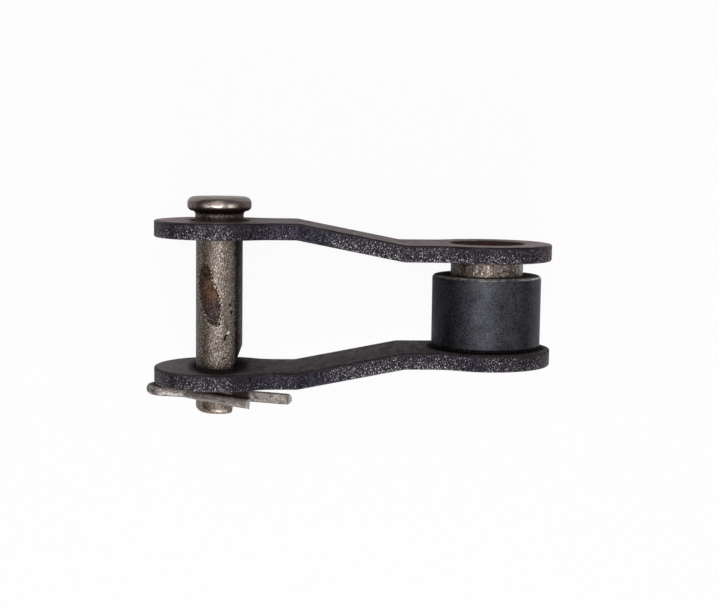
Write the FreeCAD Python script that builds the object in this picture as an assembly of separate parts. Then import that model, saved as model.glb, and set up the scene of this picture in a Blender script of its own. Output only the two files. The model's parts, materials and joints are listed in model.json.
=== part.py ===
"""Offset link of a 41.4 mm pitch roller chain, with its roller, connecting pin and split cotter.

The frame's origin is the middle of the bush bore. +X runs from the pin to the bush, +Y along the
pin and bush axes towards the pin's head, and +Z is up, with the link lying on its plates' edges.
Lengths are in millimetres and angles in degrees.
"""
import FreeCAD
import Part
import math
import os

# Chain sizes
pitch = 41.4
pin_diameter = 7.16
wide_inner_width = 20.0
narrow_inner_width = 13.7

# Cranked side plates
plate_thickness = 2.55
pin_boss_radius = 10.0
bush_boss_radius = 10.0
waist_width = 14.9
shoulder_fillet_radius = 7.0
pin_axis_to_first_bend = 11.9
bush_axis_to_second_bend = 13.3
bend_inner_radius = 2.0
plate_edge_radius = 0.3
hole_lip_chamfer = 0.35

# Bush and roller
bush_wall = 1.95
bush_recess = 1.0
bush_end_chamfer = 0.35
roller_wall = 2.745
roller_length = 11.2
roller_plate_gap = 0.15
roller_rim_radius = 0.55
roller_bore_lip_radius = 0.3

# Connecting pin
head_diameter = 9.8
head_thickness = 2.15
head_top_radius = 1.0
head_rim_radius = 0.75
head_standoff = 1.45
under_head_fillet = 0.6
neck_diameter = 7.4
neck_engagement = 1.5
neck_taper_length = 0.4
flat_depth = 1.43
flat_runout_angle = 21.8
flat_end_radius = 0.8
flat_end_turn = 60.0
pin_end_radius = 1.15
pin_end_wall = 1.6
cross_hole_diameter = 2.4

# Split cotter of half-round wire
cotter_width = 1.73
cotter_tilt = 4.6
long_leg_below_axis = 0.04
eye_inner_radius = 1.3
eye_shoulder_radius = 1.3
eye_to_pin_axis = 9.05
long_leg_reach = 11.35
short_leg_reach = 4.9
short_leg_fall_angle = 10.0
short_leg_bend_radius = 2.2
short_leg_climb_angle = 37.0
short_leg_end_angle = 25.0

# Fits and clearances, each measured on the radius or across the gap
pin_hole_clearance = 0.06
bush_pin_clearance = 0.07
roller_bore_clearance = 0.09
flat_clearance = 0.06
pin_seat_gap = 0.275
cotter_plate_gap = 0.175
cotter_pin_clearance = 0.12

# Values worked out from the sizes above
pin_radius = pin_diameter / 2
neck_radius = neck_diameter / 2
bush_bore_radius = pin_radius + bush_pin_clearance
bush_radius = bush_bore_radius + bush_wall
roller_bore_radius = bush_radius + roller_bore_clearance
roller_radius = roller_bore_radius + roller_wall
wide_half = wide_inner_width / 2
narrow_half = narrow_inner_width / 2
wide_outer_half = wide_half + plate_thickness
narrow_outer_half = narrow_half + plate_thickness
flat_to_axis = pin_radius - flat_depth
cotter_thickness = cotter_width / 2
tilt = math.radians(cotter_tilt)
cotter_axis_drop = (
    cotter_plate_gap + cotter_width / 2 / math.cos(tilt) + pin_boss_radius * math.tan(tilt)
)
cotter_axis_y = -wide_outer_half - cotter_axis_drop
flat_section_middle = (flat_to_axis - pin_radius) / 2
cross_hole_y = cotter_axis_y - flat_section_middle * math.tan(tilt)
pin_end_y = cross_hole_y - cross_hole_diameter / 2 - pin_end_wall
overrun = 2 * pitch
hair = 0.01

ORIGIN = FreeCAD.Vector(0, 0, 0)
X_AXIS = FreeCAD.Vector(1, 0, 0)
Y_AXIS = FreeCAD.Vector(0, 1, 0)
Z_AXIS = FreeCAD.Vector(0, 0, 1)
PIN_AXIS = FreeCAD.Vector(-pitch, 0, 0)


def rounded_line(points, radii):
    """Edges of an open polyline whose inner corners are rounded to the given radii."""
    edges = []
    start = points[0]
    for corner, after, radius in zip(points[1:-1], points[2:], radii):
        back = (start - corner).normalize()
        ahead = (after - corner).normalize()
        half_angle = back.getAngle(ahead) / 2
        if radius > 0:
            arc_start = corner + back * (radius / math.tan(half_angle))
            arc_end = corner + ahead * (radius / math.tan(half_angle))
            bisector = (back + ahead).normalize()
            middle = corner + bisector * (radius / math.sin(half_angle) - radius)
            edges.append(Part.makeLine(start, arc_start))
            edges.append(Part.Arc(arc_start, middle, arc_end).toShape())
            start = arc_end
        else:
            edges.append(Part.makeLine(start, corner))
            start = corner
    edges.append(Part.makeLine(start, points[-1]))
    return edges


def turned(points, radii):
    """Solid turned about the Y axis from a closed half section given as (radius, height) pairs.

    The loop starts and ends halfway along its last side, so that every corner can be rounded.
    """
    corners = [FreeCAD.Vector(radius, height, 0) for radius, height in points]
    seam = (corners[-1] + corners[0]) * 0.5
    edges = rounded_line([seam] + corners + [seam], radii)
    face = Part.Face(Part.Wire(edges))
    return face.revolve(ORIGIN, Y_AXIS, 360)


def cylinder_along_y(radius, low, high, centre):
    """Cylinder on an axis along Y through the centre, from the low to the high Y."""
    base = FreeCAD.Vector(centre.x, low, centre.z)
    return Part.makeCylinder(radius, high - low, base, Y_AXIS)


def plan_outline():
    """Plate outline seen along Y: two round bosses joined by a narrower waist."""
    waist = waist_width / 2
    ends = []
    for centre_x, boss, towards_waist in ((-pitch, pin_boss_radius, 1), (0.0, bush_boss_radius, -1)):
        reach = boss + shoulder_fillet_radius
        rise = waist + shoulder_fillet_radius
        run = math.sqrt(reach**2 - rise**2)
        fillet_x = centre_x + towards_waist * run
        touch = FreeCAD.Vector(centre_x + towards_waist * run * boss / reach, 0, rise * boss / reach)
        on_waist = FreeCAD.Vector(fillet_x, 0, waist)
        fillet_centre = FreeCAD.Vector(fillet_x, 0, rise)
        chord = (touch + on_waist) * 0.5 - fillet_centre
        middle = fillet_centre + chord.normalize() * shoulder_fillet_radius
        far_end = FreeCAD.Vector(centre_x - towards_waist * boss, 0, 0)
        ends.append((touch, middle, on_waist, far_end))

    def below(point):
        """Mirror image of the point in the plate's long middle line."""
        return FreeCAD.Vector(point.x, 0, -point.z)

    (pin_touch, pin_middle, pin_waist, pin_far), (bush_touch, bush_middle, bush_waist, bush_far) = ends
    edges = [
        Part.Arc(below(pin_touch), pin_far, pin_touch).toShape(),
        Part.Arc(pin_touch, pin_middle, pin_waist).toShape(),
        Part.makeLine(pin_waist, bush_waist),
        Part.Arc(bush_waist, bush_middle, bush_touch).toShape(),
        Part.Arc(bush_touch, bush_far, below(bush_touch)).toShape(),
        Part.Arc(below(bush_touch), below(bush_middle), below(bush_waist)).toShape(),
        Part.makeLine(below(bush_waist), below(pin_waist)),
        Part.Arc(below(pin_waist), below(pin_middle), below(pin_touch)).toShape(),
    ]
    return Part.Face(Part.Wire(edges))


def cranked_strip():
    """Bent strip of the plate's thickness, wider than the plate, on the +Y side."""
    first_bend_x = -pitch + pin_axis_to_first_bend
    second_bend_x = -bush_axis_to_second_bend
    crank_angle = math.atan((wide_half - narrow_half) / (second_bend_x - first_bend_x))
    sides = []
    for side, radii in (
        (-1, (bend_inner_radius, bend_inner_radius + plate_thickness)),
        (1, (bend_inner_radius + plate_thickness, bend_inner_radius)),
    ):
        lift = (1 + side) * plate_thickness / 2
        shift = side * plate_thickness / 2 * math.tan(crank_angle / 2)
        points = [
            FreeCAD.Vector(-pitch - 2 * pin_boss_radius, wide_half + lift, 0),
            FreeCAD.Vector(first_bend_x + shift, wide_half + lift, 0),
            FreeCAD.Vector(second_bend_x + shift, narrow_half + lift, 0),
            FreeCAD.Vector(2 * bush_boss_radius, narrow_half + lift, 0),
        ]
        sides.append((points, rounded_line(points, radii)))
    (inner_points, inner_edges), (outer_points, outer_edges) = sides
    ends = [
        Part.makeLine(inner_points[0], outer_points[0]),
        Part.makeLine(inner_points[-1], outer_points[-1]),
    ]
    wire = Part.Wire(Part.__sortEdges__(inner_edges + outer_edges + ends))
    band = Part.Face(wire).extrude(Z_AXIS * overrun)
    band.translate(Z_AXIS * (-overrun / 2))
    return band


def plate_rim(blank):
    """Edges that run round both faces of the blank: all but the bend lines and the wall's seams."""
    rim = []
    for edge in blank.Edges:
        middle = (edge.FirstParameter + edge.LastParameter) / 2
        direction = edge.tangentAt(middle)
        straight = isinstance(edge.Curve, Part.Line)
        if straight and (abs(direction.y) > 0.99 or abs(direction.z) > 0.99):
            continue
        rim.append(edge)
    return rim


def plate_blank():
    """Cranked plate on the +Y side with rounded rims and its bush hole."""
    column = plan_outline().extrude(Y_AXIS * overrun)
    blank = column.common(cranked_strip()).Solids[0]
    blank = blank.makeFillet(plate_edge_radius, plate_rim(blank))
    hole = cylinder_along_y(bush_radius, 0, overrun, ORIGIN)
    lip = Part.makeCone(
        bush_radius,
        bush_radius + hole_lip_chamfer,
        hole_lip_chamfer,
        FreeCAD.Vector(0, narrow_outer_half - hole_lip_chamfer, 0),
        Y_AXIS,
    )
    return blank.cut(hole).cut(lip)


def upper_offset_plate():
    """Plate on the head side, with a round hole for the pin's neck."""
    hole_radius = neck_radius + pin_hole_clearance
    hole = cylinder_along_y(hole_radius, 0, overrun, PIN_AXIS)
    lip = Part.makeCone(
        hole_radius,
        hole_radius + 2 * hole_lip_chamfer,
        hole_lip_chamfer,
        FreeCAD.Vector(-pitch, wide_outer_half - hole_lip_chamfer, 0),
        Y_AXIS,
    )
    return plate_blank().cut(hole).cut(lip)


def lower_offset_plate():
    """Plate on the cotter side, with a D-shaped hole that keeps the pin from turning."""
    plate = plate_blank().mirror(ORIGIN, Y_AXIS)
    hole_radius = pin_radius + pin_hole_clearance
    hole_flat_x = -pitch + flat_to_axis + flat_clearance
    hole = cylinder_along_y(hole_radius, -overrun, 0, PIN_AXIS)
    beyond_flat = Part.makeBox(
        pitch, overrun, pitch, FreeCAD.Vector(hole_flat_x, -overrun, -pitch / 2)
    )
    plate = plate.cut(hole.cut(beyond_flat))
    lip = []
    for edge in plate.Edges:
        box = edge.BoundBox
        near_pin = box.XMin > -pitch - hole_radius - hair and box.XMax < hole_flat_x + hair
        on_inner_face = box.YMin > -wide_half - hair
        if near_pin and on_inner_face and box.ZLength > hole_radius:
            lip.append(edge)
    return plate.makeChamfer(hole_lip_chamfer, lip)


def bushing():
    """Bush pressed through both plates' narrow end, with its ends below their outer faces."""
    half_length = narrow_outer_half - bush_recess
    section = [
        (bush_bore_radius, half_length),
        (bush_radius, half_length),
        (bush_radius, -half_length),
        (bush_bore_radius, -half_length),
    ]
    tube = turned(section, (0, 0, 0, 0))
    rims = [edge for edge in tube.Edges if isinstance(edge.Curve, Part.Circle)]
    return tube.makeChamfer(bush_end_chamfer, rims)


def roller():
    """Loose roller on the bush, resting against the lower plate's side."""
    low = -narrow_half + roller_plate_gap
    high = low + roller_length
    section = [
        (roller_bore_radius, high),
        (roller_radius, high),
        (roller_radius, low),
        (roller_bore_radius, low),
    ]
    radii = (roller_bore_lip_radius, roller_rim_radius, roller_rim_radius, roller_bore_lip_radius)
    return turned(section, radii)


def turned_pin():
    """Pin before its flat and cross hole: button head, neck, shank and rounded end."""
    head_low = wide_outer_half + head_standoff
    head_high = head_low + head_thickness
    head_radius = head_diameter / 2
    neck_low = wide_outer_half - neck_engagement
    section = [
        FreeCAD.Vector(0, head_high, 0),
        FreeCAD.Vector(head_radius, head_high, 0),
        FreeCAD.Vector(head_radius, head_low, 0),
        FreeCAD.Vector(neck_radius, head_low, 0),
        FreeCAD.Vector(neck_radius, neck_low, 0),
        FreeCAD.Vector(pin_radius, neck_low - neck_taper_length, 0),
        FreeCAD.Vector(pin_radius, pin_end_y, 0),
        FreeCAD.Vector(0, pin_end_y, 0),
    ]
    radii = (head_top_radius, head_rim_radius, under_head_fillet, 0, 0, pin_end_radius)
    edges = rounded_line(section, radii)
    edges.append(Part.makeLine(section[-1], section[0]))
    return Part.Face(Part.Wire(edges)).revolve(ORIGIN, Y_AXIS, 360)


def flat_cutter():
    """Shape that mills the pin's flat, with a sloping run-out above and a rounded edge at the end."""
    slope = math.tan(math.radians(flat_runout_angle))
    hole_flat = flat_to_axis + flat_clearance
    seat_y = -wide_half - hole_lip_chamfer + pin_seat_gap
    full_depth_y = seat_y - (hole_flat - flat_to_axis) / slope
    runout_end_y = full_depth_y + (pin_diameter - flat_to_axis) / slope
    end_turn = math.radians(flat_end_turn)
    end_edge_y = pin_end_y + flat_end_radius * math.sin(end_turn)

    def on_end_edge(angle):
        """Point of the rounded end edge, at an angle from where it leaves the flat."""
        inset = flat_end_radius * (1 - math.cos(angle))
        drop = flat_end_radius * math.sin(angle)
        return FreeCAD.Vector(flat_to_axis - inset, end_edge_y - drop, -pin_diameter)

    below_end = on_end_edge(end_turn * 4 / 3)
    beyond = [
        FreeCAD.Vector(pin_diameter, below_end.y, -pin_diameter),
        FreeCAD.Vector(pin_diameter, runout_end_y, -pin_diameter),
        FreeCAD.Vector(flat_to_axis, full_depth_y, -pin_diameter),
        on_end_edge(0),
    ]
    edges = [
        Part.Arc(on_end_edge(0), on_end_edge(end_turn * 2 / 3), below_end).toShape(),
        Part.makeLine(below_end, beyond[0]),
        *[Part.makeLine(start, end) for start, end in zip(beyond, beyond[1:])],
    ]
    return Part.Face(Part.Wire(edges)).extrude(Z_AXIS * 2 * pin_diameter)


def connecting_pin():
    """Headed pin with a D flat at its lower end and a hole across it for the cotter."""
    cross_hole = Part.makeCylinder(
        cross_hole_diameter / 2,
        2 * pin_diameter,
        FreeCAD.Vector(-pin_diameter, cross_hole_y, 0),
        X_AXIS,
    )
    pin = turned_pin().cut(flat_cutter()).cut(cross_hole)
    pin.translate(PIN_AXIS)
    return pin


def cotter_path():
    """Line of the wire's flat face, from the long leg's tip round the eye to the short leg's end."""

    def at(along, out):
        """Point in the cotter's own plane, along its legs and out of the lying link."""
        return FreeCAD.Vector(along, 0, out)

    eye = at(-eye_to_pin_axis, 0)
    shoulder_out = long_leg_below_axis + eye_shoulder_radius
    centres_apart = eye_inner_radius + eye_shoulder_radius
    run = math.sqrt(centres_apart**2 - shoulder_out**2)
    shoulder_centre = eye + at(run, -shoulder_out)
    shoulder_turn = math.atan2(run, shoulder_out)
    leg_start = shoulder_centre + at(0, eye_shoulder_radius)
    shoulder_middle = shoulder_centre + at(
        -eye_shoulder_radius * math.sin(shoulder_turn / 2),
        eye_shoulder_radius * math.cos(shoulder_turn / 2),
    )
    eye_start = eye + at(run, -shoulder_out) * (eye_inner_radius / centres_apart)

    fall = math.radians(short_leg_fall_angle)
    climb = math.radians(short_leg_climb_angle)
    finish = math.radians(short_leg_end_angle)
    hug = pin_radius + cotter_pin_clearance

    def on_hug(angle):
        """Point where the short leg touches its arc round the pin at the given slope."""
        return at(-hug * math.sin(angle), hug * math.cos(angle))

    eye_end = eye + at(math.sin(fall), math.cos(fall)) * eye_inner_radius
    climb_start = on_hug(climb)
    meet_run = climb_start.z - eye_end.z + (eye_end.x - climb_start.x) * math.tan(climb)
    bend_x = eye_end.x - meet_run / (math.tan(fall) + math.tan(climb))
    bend_corner = at(bend_x, eye_end.z - (bend_x - eye_end.x) * math.tan(fall))
    leaves_hug = on_hug(finish)
    end_run = (short_leg_reach - leaves_hug.x) / math.cos(finish)
    short_end = leaves_hug + at(math.cos(finish), math.sin(finish)) * end_run

    bend = rounded_line([eye_end, bend_corner, climb_start], (short_leg_bend_radius,))
    edges = [
        Part.makeLine(at(long_leg_reach, -long_leg_below_axis), leg_start),
        Part.Arc(leg_start, shoulder_middle, eye_start).toShape(),
        Part.Arc(eye_start, eye - at(eye_inner_radius, 0), eye_end).toShape(),
        *bend,
        Part.Arc(climb_start, on_hug((climb + finish) / 2), leaves_hug).toShape(),
        Part.makeLine(leaves_hug, short_end),
    ]
    return Part.Wire(edges)


def cotter():
    """Split cotter: its long leg through the pin's cross hole, its short leg round the outside."""
    half = cotter_width / 2
    corner_a = FreeCAD.Vector(long_leg_reach, half, -long_leg_below_axis)
    corner_b = FreeCAD.Vector(long_leg_reach, -half, -long_leg_below_axis)
    crown = FreeCAD.Vector(long_leg_reach, 0, -long_leg_below_axis - cotter_thickness)
    section = Part.Wire([Part.makeLine(corner_b, corner_a), Part.Arc(corner_a, crown, corner_b).toShape()])
    wire = Part.Solid(cotter_path().makePipeShell([section], True, False))
    tip_centre = FreeCAD.Vector(long_leg_reach - half, 0, -overrun)
    tip_round = Part.makeCylinder(half, 2 * overrun, tip_centre, Z_AXIS)
    tip_block = Part.makeBox(
        pitch, 2 * half, 2 * overrun, FreeCAD.Vector(long_leg_reach - half, -half, -overrun)
    )
    wire = wire.cut(tip_block.cut(tip_round))
    wire.rotate(ORIGIN, Z_AXIS, -cotter_tilt)
    wire.translate(FreeCAD.Vector(-pitch, cotter_axis_y, 0))
    return wire


def main():
    """Writes each piece to its own file and prints its volume."""
    os.makedirs("parts", exist_ok=True)
    for make in (upper_offset_plate, lower_offset_plate, bushing, roller, connecting_pin, cotter):
        shape = make()
        shape.exportStep(f"parts/{make.__name__}.step")
        print(make.__name__, "valid", shape.isValid(), "volume", round(shape.Volume, 3))


main()
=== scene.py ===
"""Finish of a roller chain offset link: blackened cranked plates, worn bush, roller, pin and cotter.

Lengths in the classes are millimetres in the link's own frame, and meshes are written in metres.
The origin is the middle of the bush bore, +X runs from the pin to the bush, +Y towards the pin's
head, and +Z is up, with the link lying on its plates' edges.
"""
import json
import logging
import math
from collections.abc import Callable, Sequence
from dataclasses import dataclass, field
from enum import Enum

import bmesh
import bpy
import numpy as np
from mathutils import Matrix, Vector
from mathutils.geometry import delaunay_2d_cdt

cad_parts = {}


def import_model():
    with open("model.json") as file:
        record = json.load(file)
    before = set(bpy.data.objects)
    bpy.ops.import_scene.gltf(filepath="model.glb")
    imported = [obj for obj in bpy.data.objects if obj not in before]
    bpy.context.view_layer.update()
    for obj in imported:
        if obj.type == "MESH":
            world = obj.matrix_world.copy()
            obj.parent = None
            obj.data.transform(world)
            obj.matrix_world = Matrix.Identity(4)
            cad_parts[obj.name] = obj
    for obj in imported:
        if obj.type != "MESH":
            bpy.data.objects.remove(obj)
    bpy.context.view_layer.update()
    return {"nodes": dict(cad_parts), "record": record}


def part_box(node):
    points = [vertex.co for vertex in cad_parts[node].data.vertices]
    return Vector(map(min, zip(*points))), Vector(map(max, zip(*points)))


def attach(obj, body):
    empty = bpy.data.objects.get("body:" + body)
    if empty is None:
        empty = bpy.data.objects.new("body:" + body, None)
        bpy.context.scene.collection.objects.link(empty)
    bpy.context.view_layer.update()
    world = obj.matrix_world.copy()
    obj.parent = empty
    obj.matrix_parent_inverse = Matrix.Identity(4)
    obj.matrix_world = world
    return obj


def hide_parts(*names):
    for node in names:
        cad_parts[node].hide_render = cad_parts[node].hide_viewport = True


MM = 0.001
CREASE = math.radians(38)
MERGE_DISTANCE = 1e-7
WHITE = (1.0, 1.0, 1.0, 1.0)
LOG = logging.getLogger("offset_link")

Colour = Triple = tuple[float, float, float]
Pair = tuple[float, float]
Array = np.ndarray


class Side(Enum):
    """Side of the link that a plate stands on, as the sign of its Y."""

    UPPER = 1
    LOWER = -1


class Ease(Enum):
    """How a mapped value passes between its limits."""

    LINEAR = "LINEAR"
    SMOOTH = "SMOOTHSTEP"


# Node graphs


class Graph:
    """Adds nodes to a tree and links them by socket."""

    def __init__(self, tree: bpy.types.NodeTree) -> None:
        """Keeps the tree.

        Args:
            tree: The node tree to add to.
        """
        self.tree = tree

    def feed(self, node: bpy.types.Node, name: str | int, value: object) -> None:
        """Links a socket to a node's input, or sets the input to a plain value.

        Args:
            node: The node that takes the value.
            name: Name or number of its input.
            value: A socket or a plain value.
        """
        if isinstance(value, bpy.types.NodeSocket):
            self.tree.links.new(value, node.inputs[name])
        else:
            node.inputs[name].default_value = value

    def add(self, kind: str, inputs: dict | None = None, **settings: object) -> bpy.types.Node:
        """Adds one node.

        Args:
            kind: Blender's name for the node type.
            inputs: Values or sockets by input name or number.
            **settings: Attributes of the node, set before its inputs.

        Returns:
            The new node.
        """
        node = self.tree.nodes.new(kind)
        for name, value in settings.items():
            setattr(node, name, value)
        for name, value in (inputs or {}).items():
            self.feed(node, name, value)
        return node

    def math(self, operation: str, *values: object, clamp: bool = False) -> object:
        """Output of a Math node on up to three values or sockets."""
        inputs = dict(enumerate(values))
        return self.add("ShaderNodeMath", inputs, operation=operation, use_clamp=clamp).outputs[0]

    def times(self, first: object, second: object, clamp: bool = False) -> object:
        """Product of two values."""
        return self.math("MULTIPLY", first, second, clamp=clamp)

    def plus(self, first: object, second: object) -> object:
        """Sum of two values."""
        return self.math("ADD", first, second)

    def minus(self, first: object, second: object) -> object:
        """First value less the second."""
        return self.math("SUBTRACT", first, second)

    def scaled(self, value: object, factor: object, added: object) -> object:
        """Value times a factor, with an amount added."""
        return self.math("MULTIPLY_ADD", value, factor, added)

    def larger(self, first: object, second: object) -> object:
        """Larger of two values."""
        return self.math("MAXIMUM", first, second)

    def vector_math(self, operation: str, first: object, second: object) -> object:
        """Output of a Vector Math node on two vectors or sockets."""
        return self.add("ShaderNodeVectorMath", {0: first, 1: second}, operation=operation).outputs[0]

    def combined(self, x: object, y: object, z: object) -> object:
        """Vector made of three numbers."""
        return self.add("ShaderNodeCombineXYZ", {0: x, 1: y, 2: z}).outputs[0]

    def parts(self, vector: object) -> bpy.types.bpy_prop_collection:
        """X, Y and Z of a vector, by name or number."""
        return self.add("ShaderNodeSeparateXYZ", {0: vector}).outputs

    def ranged(
        self,
        value: object,
        low: object,
        high: object,
        to_low: object = 0.0,
        to_high: object = 1.0,
        ease: Ease = Ease.SMOOTH,
    ) -> object:
        """Maps a value from one range to another.

        Args:
            value: The value to map.
            low: Start of its range.
            high: End of its range.
            to_low: Result at the start.
            to_high: Result at the end.
            ease: How the result passes between them.

        Returns:
            The mapped value's socket.
        """
        inputs = {"Value": value, "From Min": low, "From Max": high, "To Min": to_low, "To Max": to_high}
        return self.add("ShaderNodeMapRange", inputs, interpolation_type=ease.value).outputs["Result"]

    def mix(self, share: object, first: object, second: object) -> object:
        """Colour output of a Mix node; plain colours are given as three numbers."""
        node = self.add("ShaderNodeMix", data_type="RGBA")
        for number, value in ((0, share), (6, first), (7, second)):
            self.feed(node, number, (*value, 1.0) if isinstance(value, tuple) else value)
        return node.outputs[2]

    def noise(self, vector: object, scale: object, detail: float, roughness: float) -> object:
        """Factor output of a Noise Texture node."""
        inputs = {"Vector": vector, "Scale": scale, "Detail": detail, "Roughness": roughness}
        return self.add("ShaderNodeTexNoise", inputs).outputs[0]

    def attribute(self, name: str) -> object:
        """Number that a shader reads from the piece's own attribute."""
        return self.add("ShaderNodeAttribute", attribute_name=name).outputs["Fac"]


def new_group(
    name: str, kind: str, inputs: Sequence[tuple], outputs: Sequence[tuple]
) -> tuple[Graph, bpy.types.Node, bpy.types.Node]:
    """Starts a node group with named sockets.

    Args:
        name: The group's name.
        kind: ShaderNodeTree or GeometryNodeTree.
        inputs: Name, socket type and default value of each input.
        outputs: Name and socket type of each output.

    Returns:
        The graph, its input node and its output node.
    """
    tree = bpy.data.node_groups.new(name, kind)
    for label, socket_type, default in inputs:
        socket = tree.interface.new_socket(label, in_out="INPUT", socket_type=socket_type)
        if default is not None:
            socket.default_value = default
    for label, socket_type in outputs:
        tree.interface.new_socket(label, in_out="OUTPUT", socket_type=socket_type)
    graph = Graph(tree)
    return graph, graph.add("NodeGroupInput"), graph.add("NodeGroupOutput")


def cleared(owner: bpy.types.Material | bpy.types.World) -> Graph:
    """Graph of a material or world, without its default nodes."""
    owner.use_nodes = True
    owner.node_tree.nodes.clear()
    return Graph(owner.node_tree)


FLOAT = "NodeSocketFloat"
VECTOR = "NodeSocketVector"
GEOMETRY = "NodeSocketGeometry"
MATERIAL = "NodeSocketMaterial"


# Meshes


def placed(name: str, data: bpy.types.ID) -> bpy.types.Object:
    """New object on some data, linked to the scene."""
    piece = bpy.data.objects.new(name, data)
    bpy.context.scene.collection.objects.link(piece)
    return piece


def evaluated_mesh(piece: bpy.types.Object) -> bpy.types.Mesh:
    """Plain mesh of a piece with its modifiers applied."""
    graph = bpy.context.evaluated_depsgraph_get()
    return bpy.data.meshes.new_from_object(piece.evaluated_get(graph), depsgraph=graph)


def built_mesh(
    name: str, points: Array, faces: Sequence[Sequence[int]], marks: dict[str, Array]
) -> bpy.types.Object:
    """Makes a closed, outward-facing mesh object with float attributes on its points.

    Args:
        name: The object's name.
        points: Point coordinates in millimetres.
        faces: Corner numbers of each face.
        marks: Attribute values by name, one for each point.

    Returns:
        The object, smooth shaded and linked to the scene.
    """
    mesh = bpy.data.meshes.new(name)
    mesh.from_pydata((points * MM).tolist(), [], [list(map(int, face)) for face in faces])
    for label, values in marks.items():
        layer = mesh.attributes.new(label, "FLOAT", "POINT")
        layer.data.foreach_set("value", np.asarray(values, np.float32))
    work = bmesh.new()
    work.from_mesh(mesh)
    bmesh.ops.remove_doubles(work, verts=work.verts, dist=MERGE_DISTANCE)
    bmesh.ops.recalc_face_normals(work, faces=work.faces)
    work.to_mesh(mesh)
    work.free()
    mesh.shade_smooth()
    return placed(name, mesh)


def strip_faces(rings: int, around: int, first: int = 0) -> list[tuple[int, int, int, int]]:
    """Faces between rings of points that close on themselves.

    Args:
        rings: Number of rings.
        around: Points in each ring.
        first: Number of the first ring's first point.

    Returns:
        Corner numbers of each four-sided face.
    """
    faces = []
    for ring in range(rings - 1):
        low = first + ring * around
        for step in range(around):
            after = (step + 1) % around
            faces.append((low + step, low + after, low + around + after, low + around + step))
    return faces


def shaped(piece: bpy.types.Object, tree: bpy.types.NodeTree, values: dict[str, object]) -> bpy.types.Object:
    """Runs a geometry tree on a piece and keeps the result as the piece's plain mesh.

    Args:
        piece: The mesh or curve object that the tree starts from.
        tree: The geometry node tree.
        values: Values of the tree's inputs by name.

    Returns:
        A mesh object of the same name, at the origin.
    """
    modifier = piece.modifiers.new(tree.name, "NODES")
    modifier.node_group = tree
    sockets = {s.name: s.identifier for s in tree.interface.items_tree if s.in_out == "INPUT"}
    for label, value in values.items():
        modifier[sockets[label]] = value
    mesh = evaluated_mesh(piece)
    name = piece.name
    piece.modifiers.remove(modifier)
    bpy.data.objects.remove(piece)
    mesh.name = name
    mesh.set_sharp_from_angle(angle=CREASE)
    return placed(name, mesh)


def rounded(points: Sequence[tuple[float, float]], radii: Sequence[float], step: float, fine: float) -> Array:
    """Points along an open polyline whose inner corners are rounded.

    Args:
        points: The polyline's corners.
        radii: Radius of each inner corner, 0 for a sharp one.
        step: Spacing along straight runs.
        fine: Spacing along the arcs.

    Returns:
        The points in order, as an array of pairs.
    """
    corners = [np.array(point, float) for point in points]
    path = [corners[0]]

    def run_to(target: Array) -> None:
        """Adds evenly spaced points up to the target."""
        start = path[-1]
        count = max(1, math.ceil(np.linalg.norm(target - start) / step))
        path.extend(start + (target - start) * share for share in np.arange(1, count + 1) / count)

    for corner, after, radius in zip(corners[1:-1], corners[2:], radii):
        if radius == 0:
            run_to(corner)
            continue
        back = path[-1] - corner
        back /= np.linalg.norm(back)
        ahead = (after - corner) / np.linalg.norm(after - corner)
        half = math.acos(float(np.clip(back @ ahead, -1, 1))) / 2
        run_to(corner + back * radius / math.tan(half))
        middle = corner + (back + ahead) / np.linalg.norm(back + ahead) * radius / math.sin(half)
        start = path[-1] - middle
        end = corner + ahead * radius / math.tan(half) - middle
        turn = math.pi - 2 * half
        count = max(3, math.ceil(turn * radius / fine))
        for share in np.arange(1, count + 1) / count:
            weights = (math.sin((1 - share) * turn), math.sin(share * turn))
            path.append(middle + (start * weights[0] + end * weights[1]) / math.sin(turn))
    run_to(corners[-1])
    return np.array(path)


@dataclass
class Lathe:
    """Turned shape on an axis along Y.

    Attributes:
        axis_x: The axis's X.
        around: Points round each ring.
        closed: Whether the section is a loop, as on a tube, and not a line from pole to pole.
    """

    axis_x: float
    around: int
    closed: bool

    def build(
        self,
        name: str,
        section: Array,
        marks: Callable[[Array, Array, Array], dict[str, Array]],
        reshape: Callable[[Array, Array, Array], Array] | None = None,
    ) -> bpy.types.Object:
        """Turns the section.

        Args:
            name: The object's name.
            section: Radius and height pairs, from the top pole to the bottom one or round a loop.
            marks: Attribute values for arrays of angle, height and section length.
            reshape: Changed radii for arrays of radius, angle and height.

        Returns:
            The mesh object.
        """
        if self.closed and np.allclose(section[0], section[-1]):
            section = section[:-1]
        turns = np.arange(self.around) / self.around * 2 * math.pi
        steps = np.linalg.norm(np.diff(section, axis=0), axis=1)
        lengths = np.concatenate([[0.0], np.cumsum(steps)])
        angle = np.tile(turns, len(section))
        radius = np.repeat(section[:, 0], self.around)
        height = np.repeat(section[:, 1], self.around)
        length = np.repeat(lengths, self.around)
        if reshape:
            radius = reshape(radius, angle, height)
        points = np.stack(
            [self.axis_x + radius * np.sin(angle), height, radius * np.cos(angle)], axis=1
        )
        faces = strip_faces(len(section), self.around)
        if self.closed:
            last = (len(section) - 1) * self.around
            for step in range(self.around):
                after = (step + 1) % self.around
                faces.append((last + step, last + after, after, step))
        return built_mesh(name, points, faces, marks(angle, height, length))


# Geometry trees


def stored(graph: Graph, geometry: object, label: str, value: object) -> object:
    """Geometry with a number stored on its points under a name."""
    inputs = {"Geometry": geometry, "Name": label, "Value": value}
    node = graph.add("GeometryNodeStoreNamedAttribute", inputs, data_type="FLOAT", domain="POINT")
    return node.outputs[0]


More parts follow.
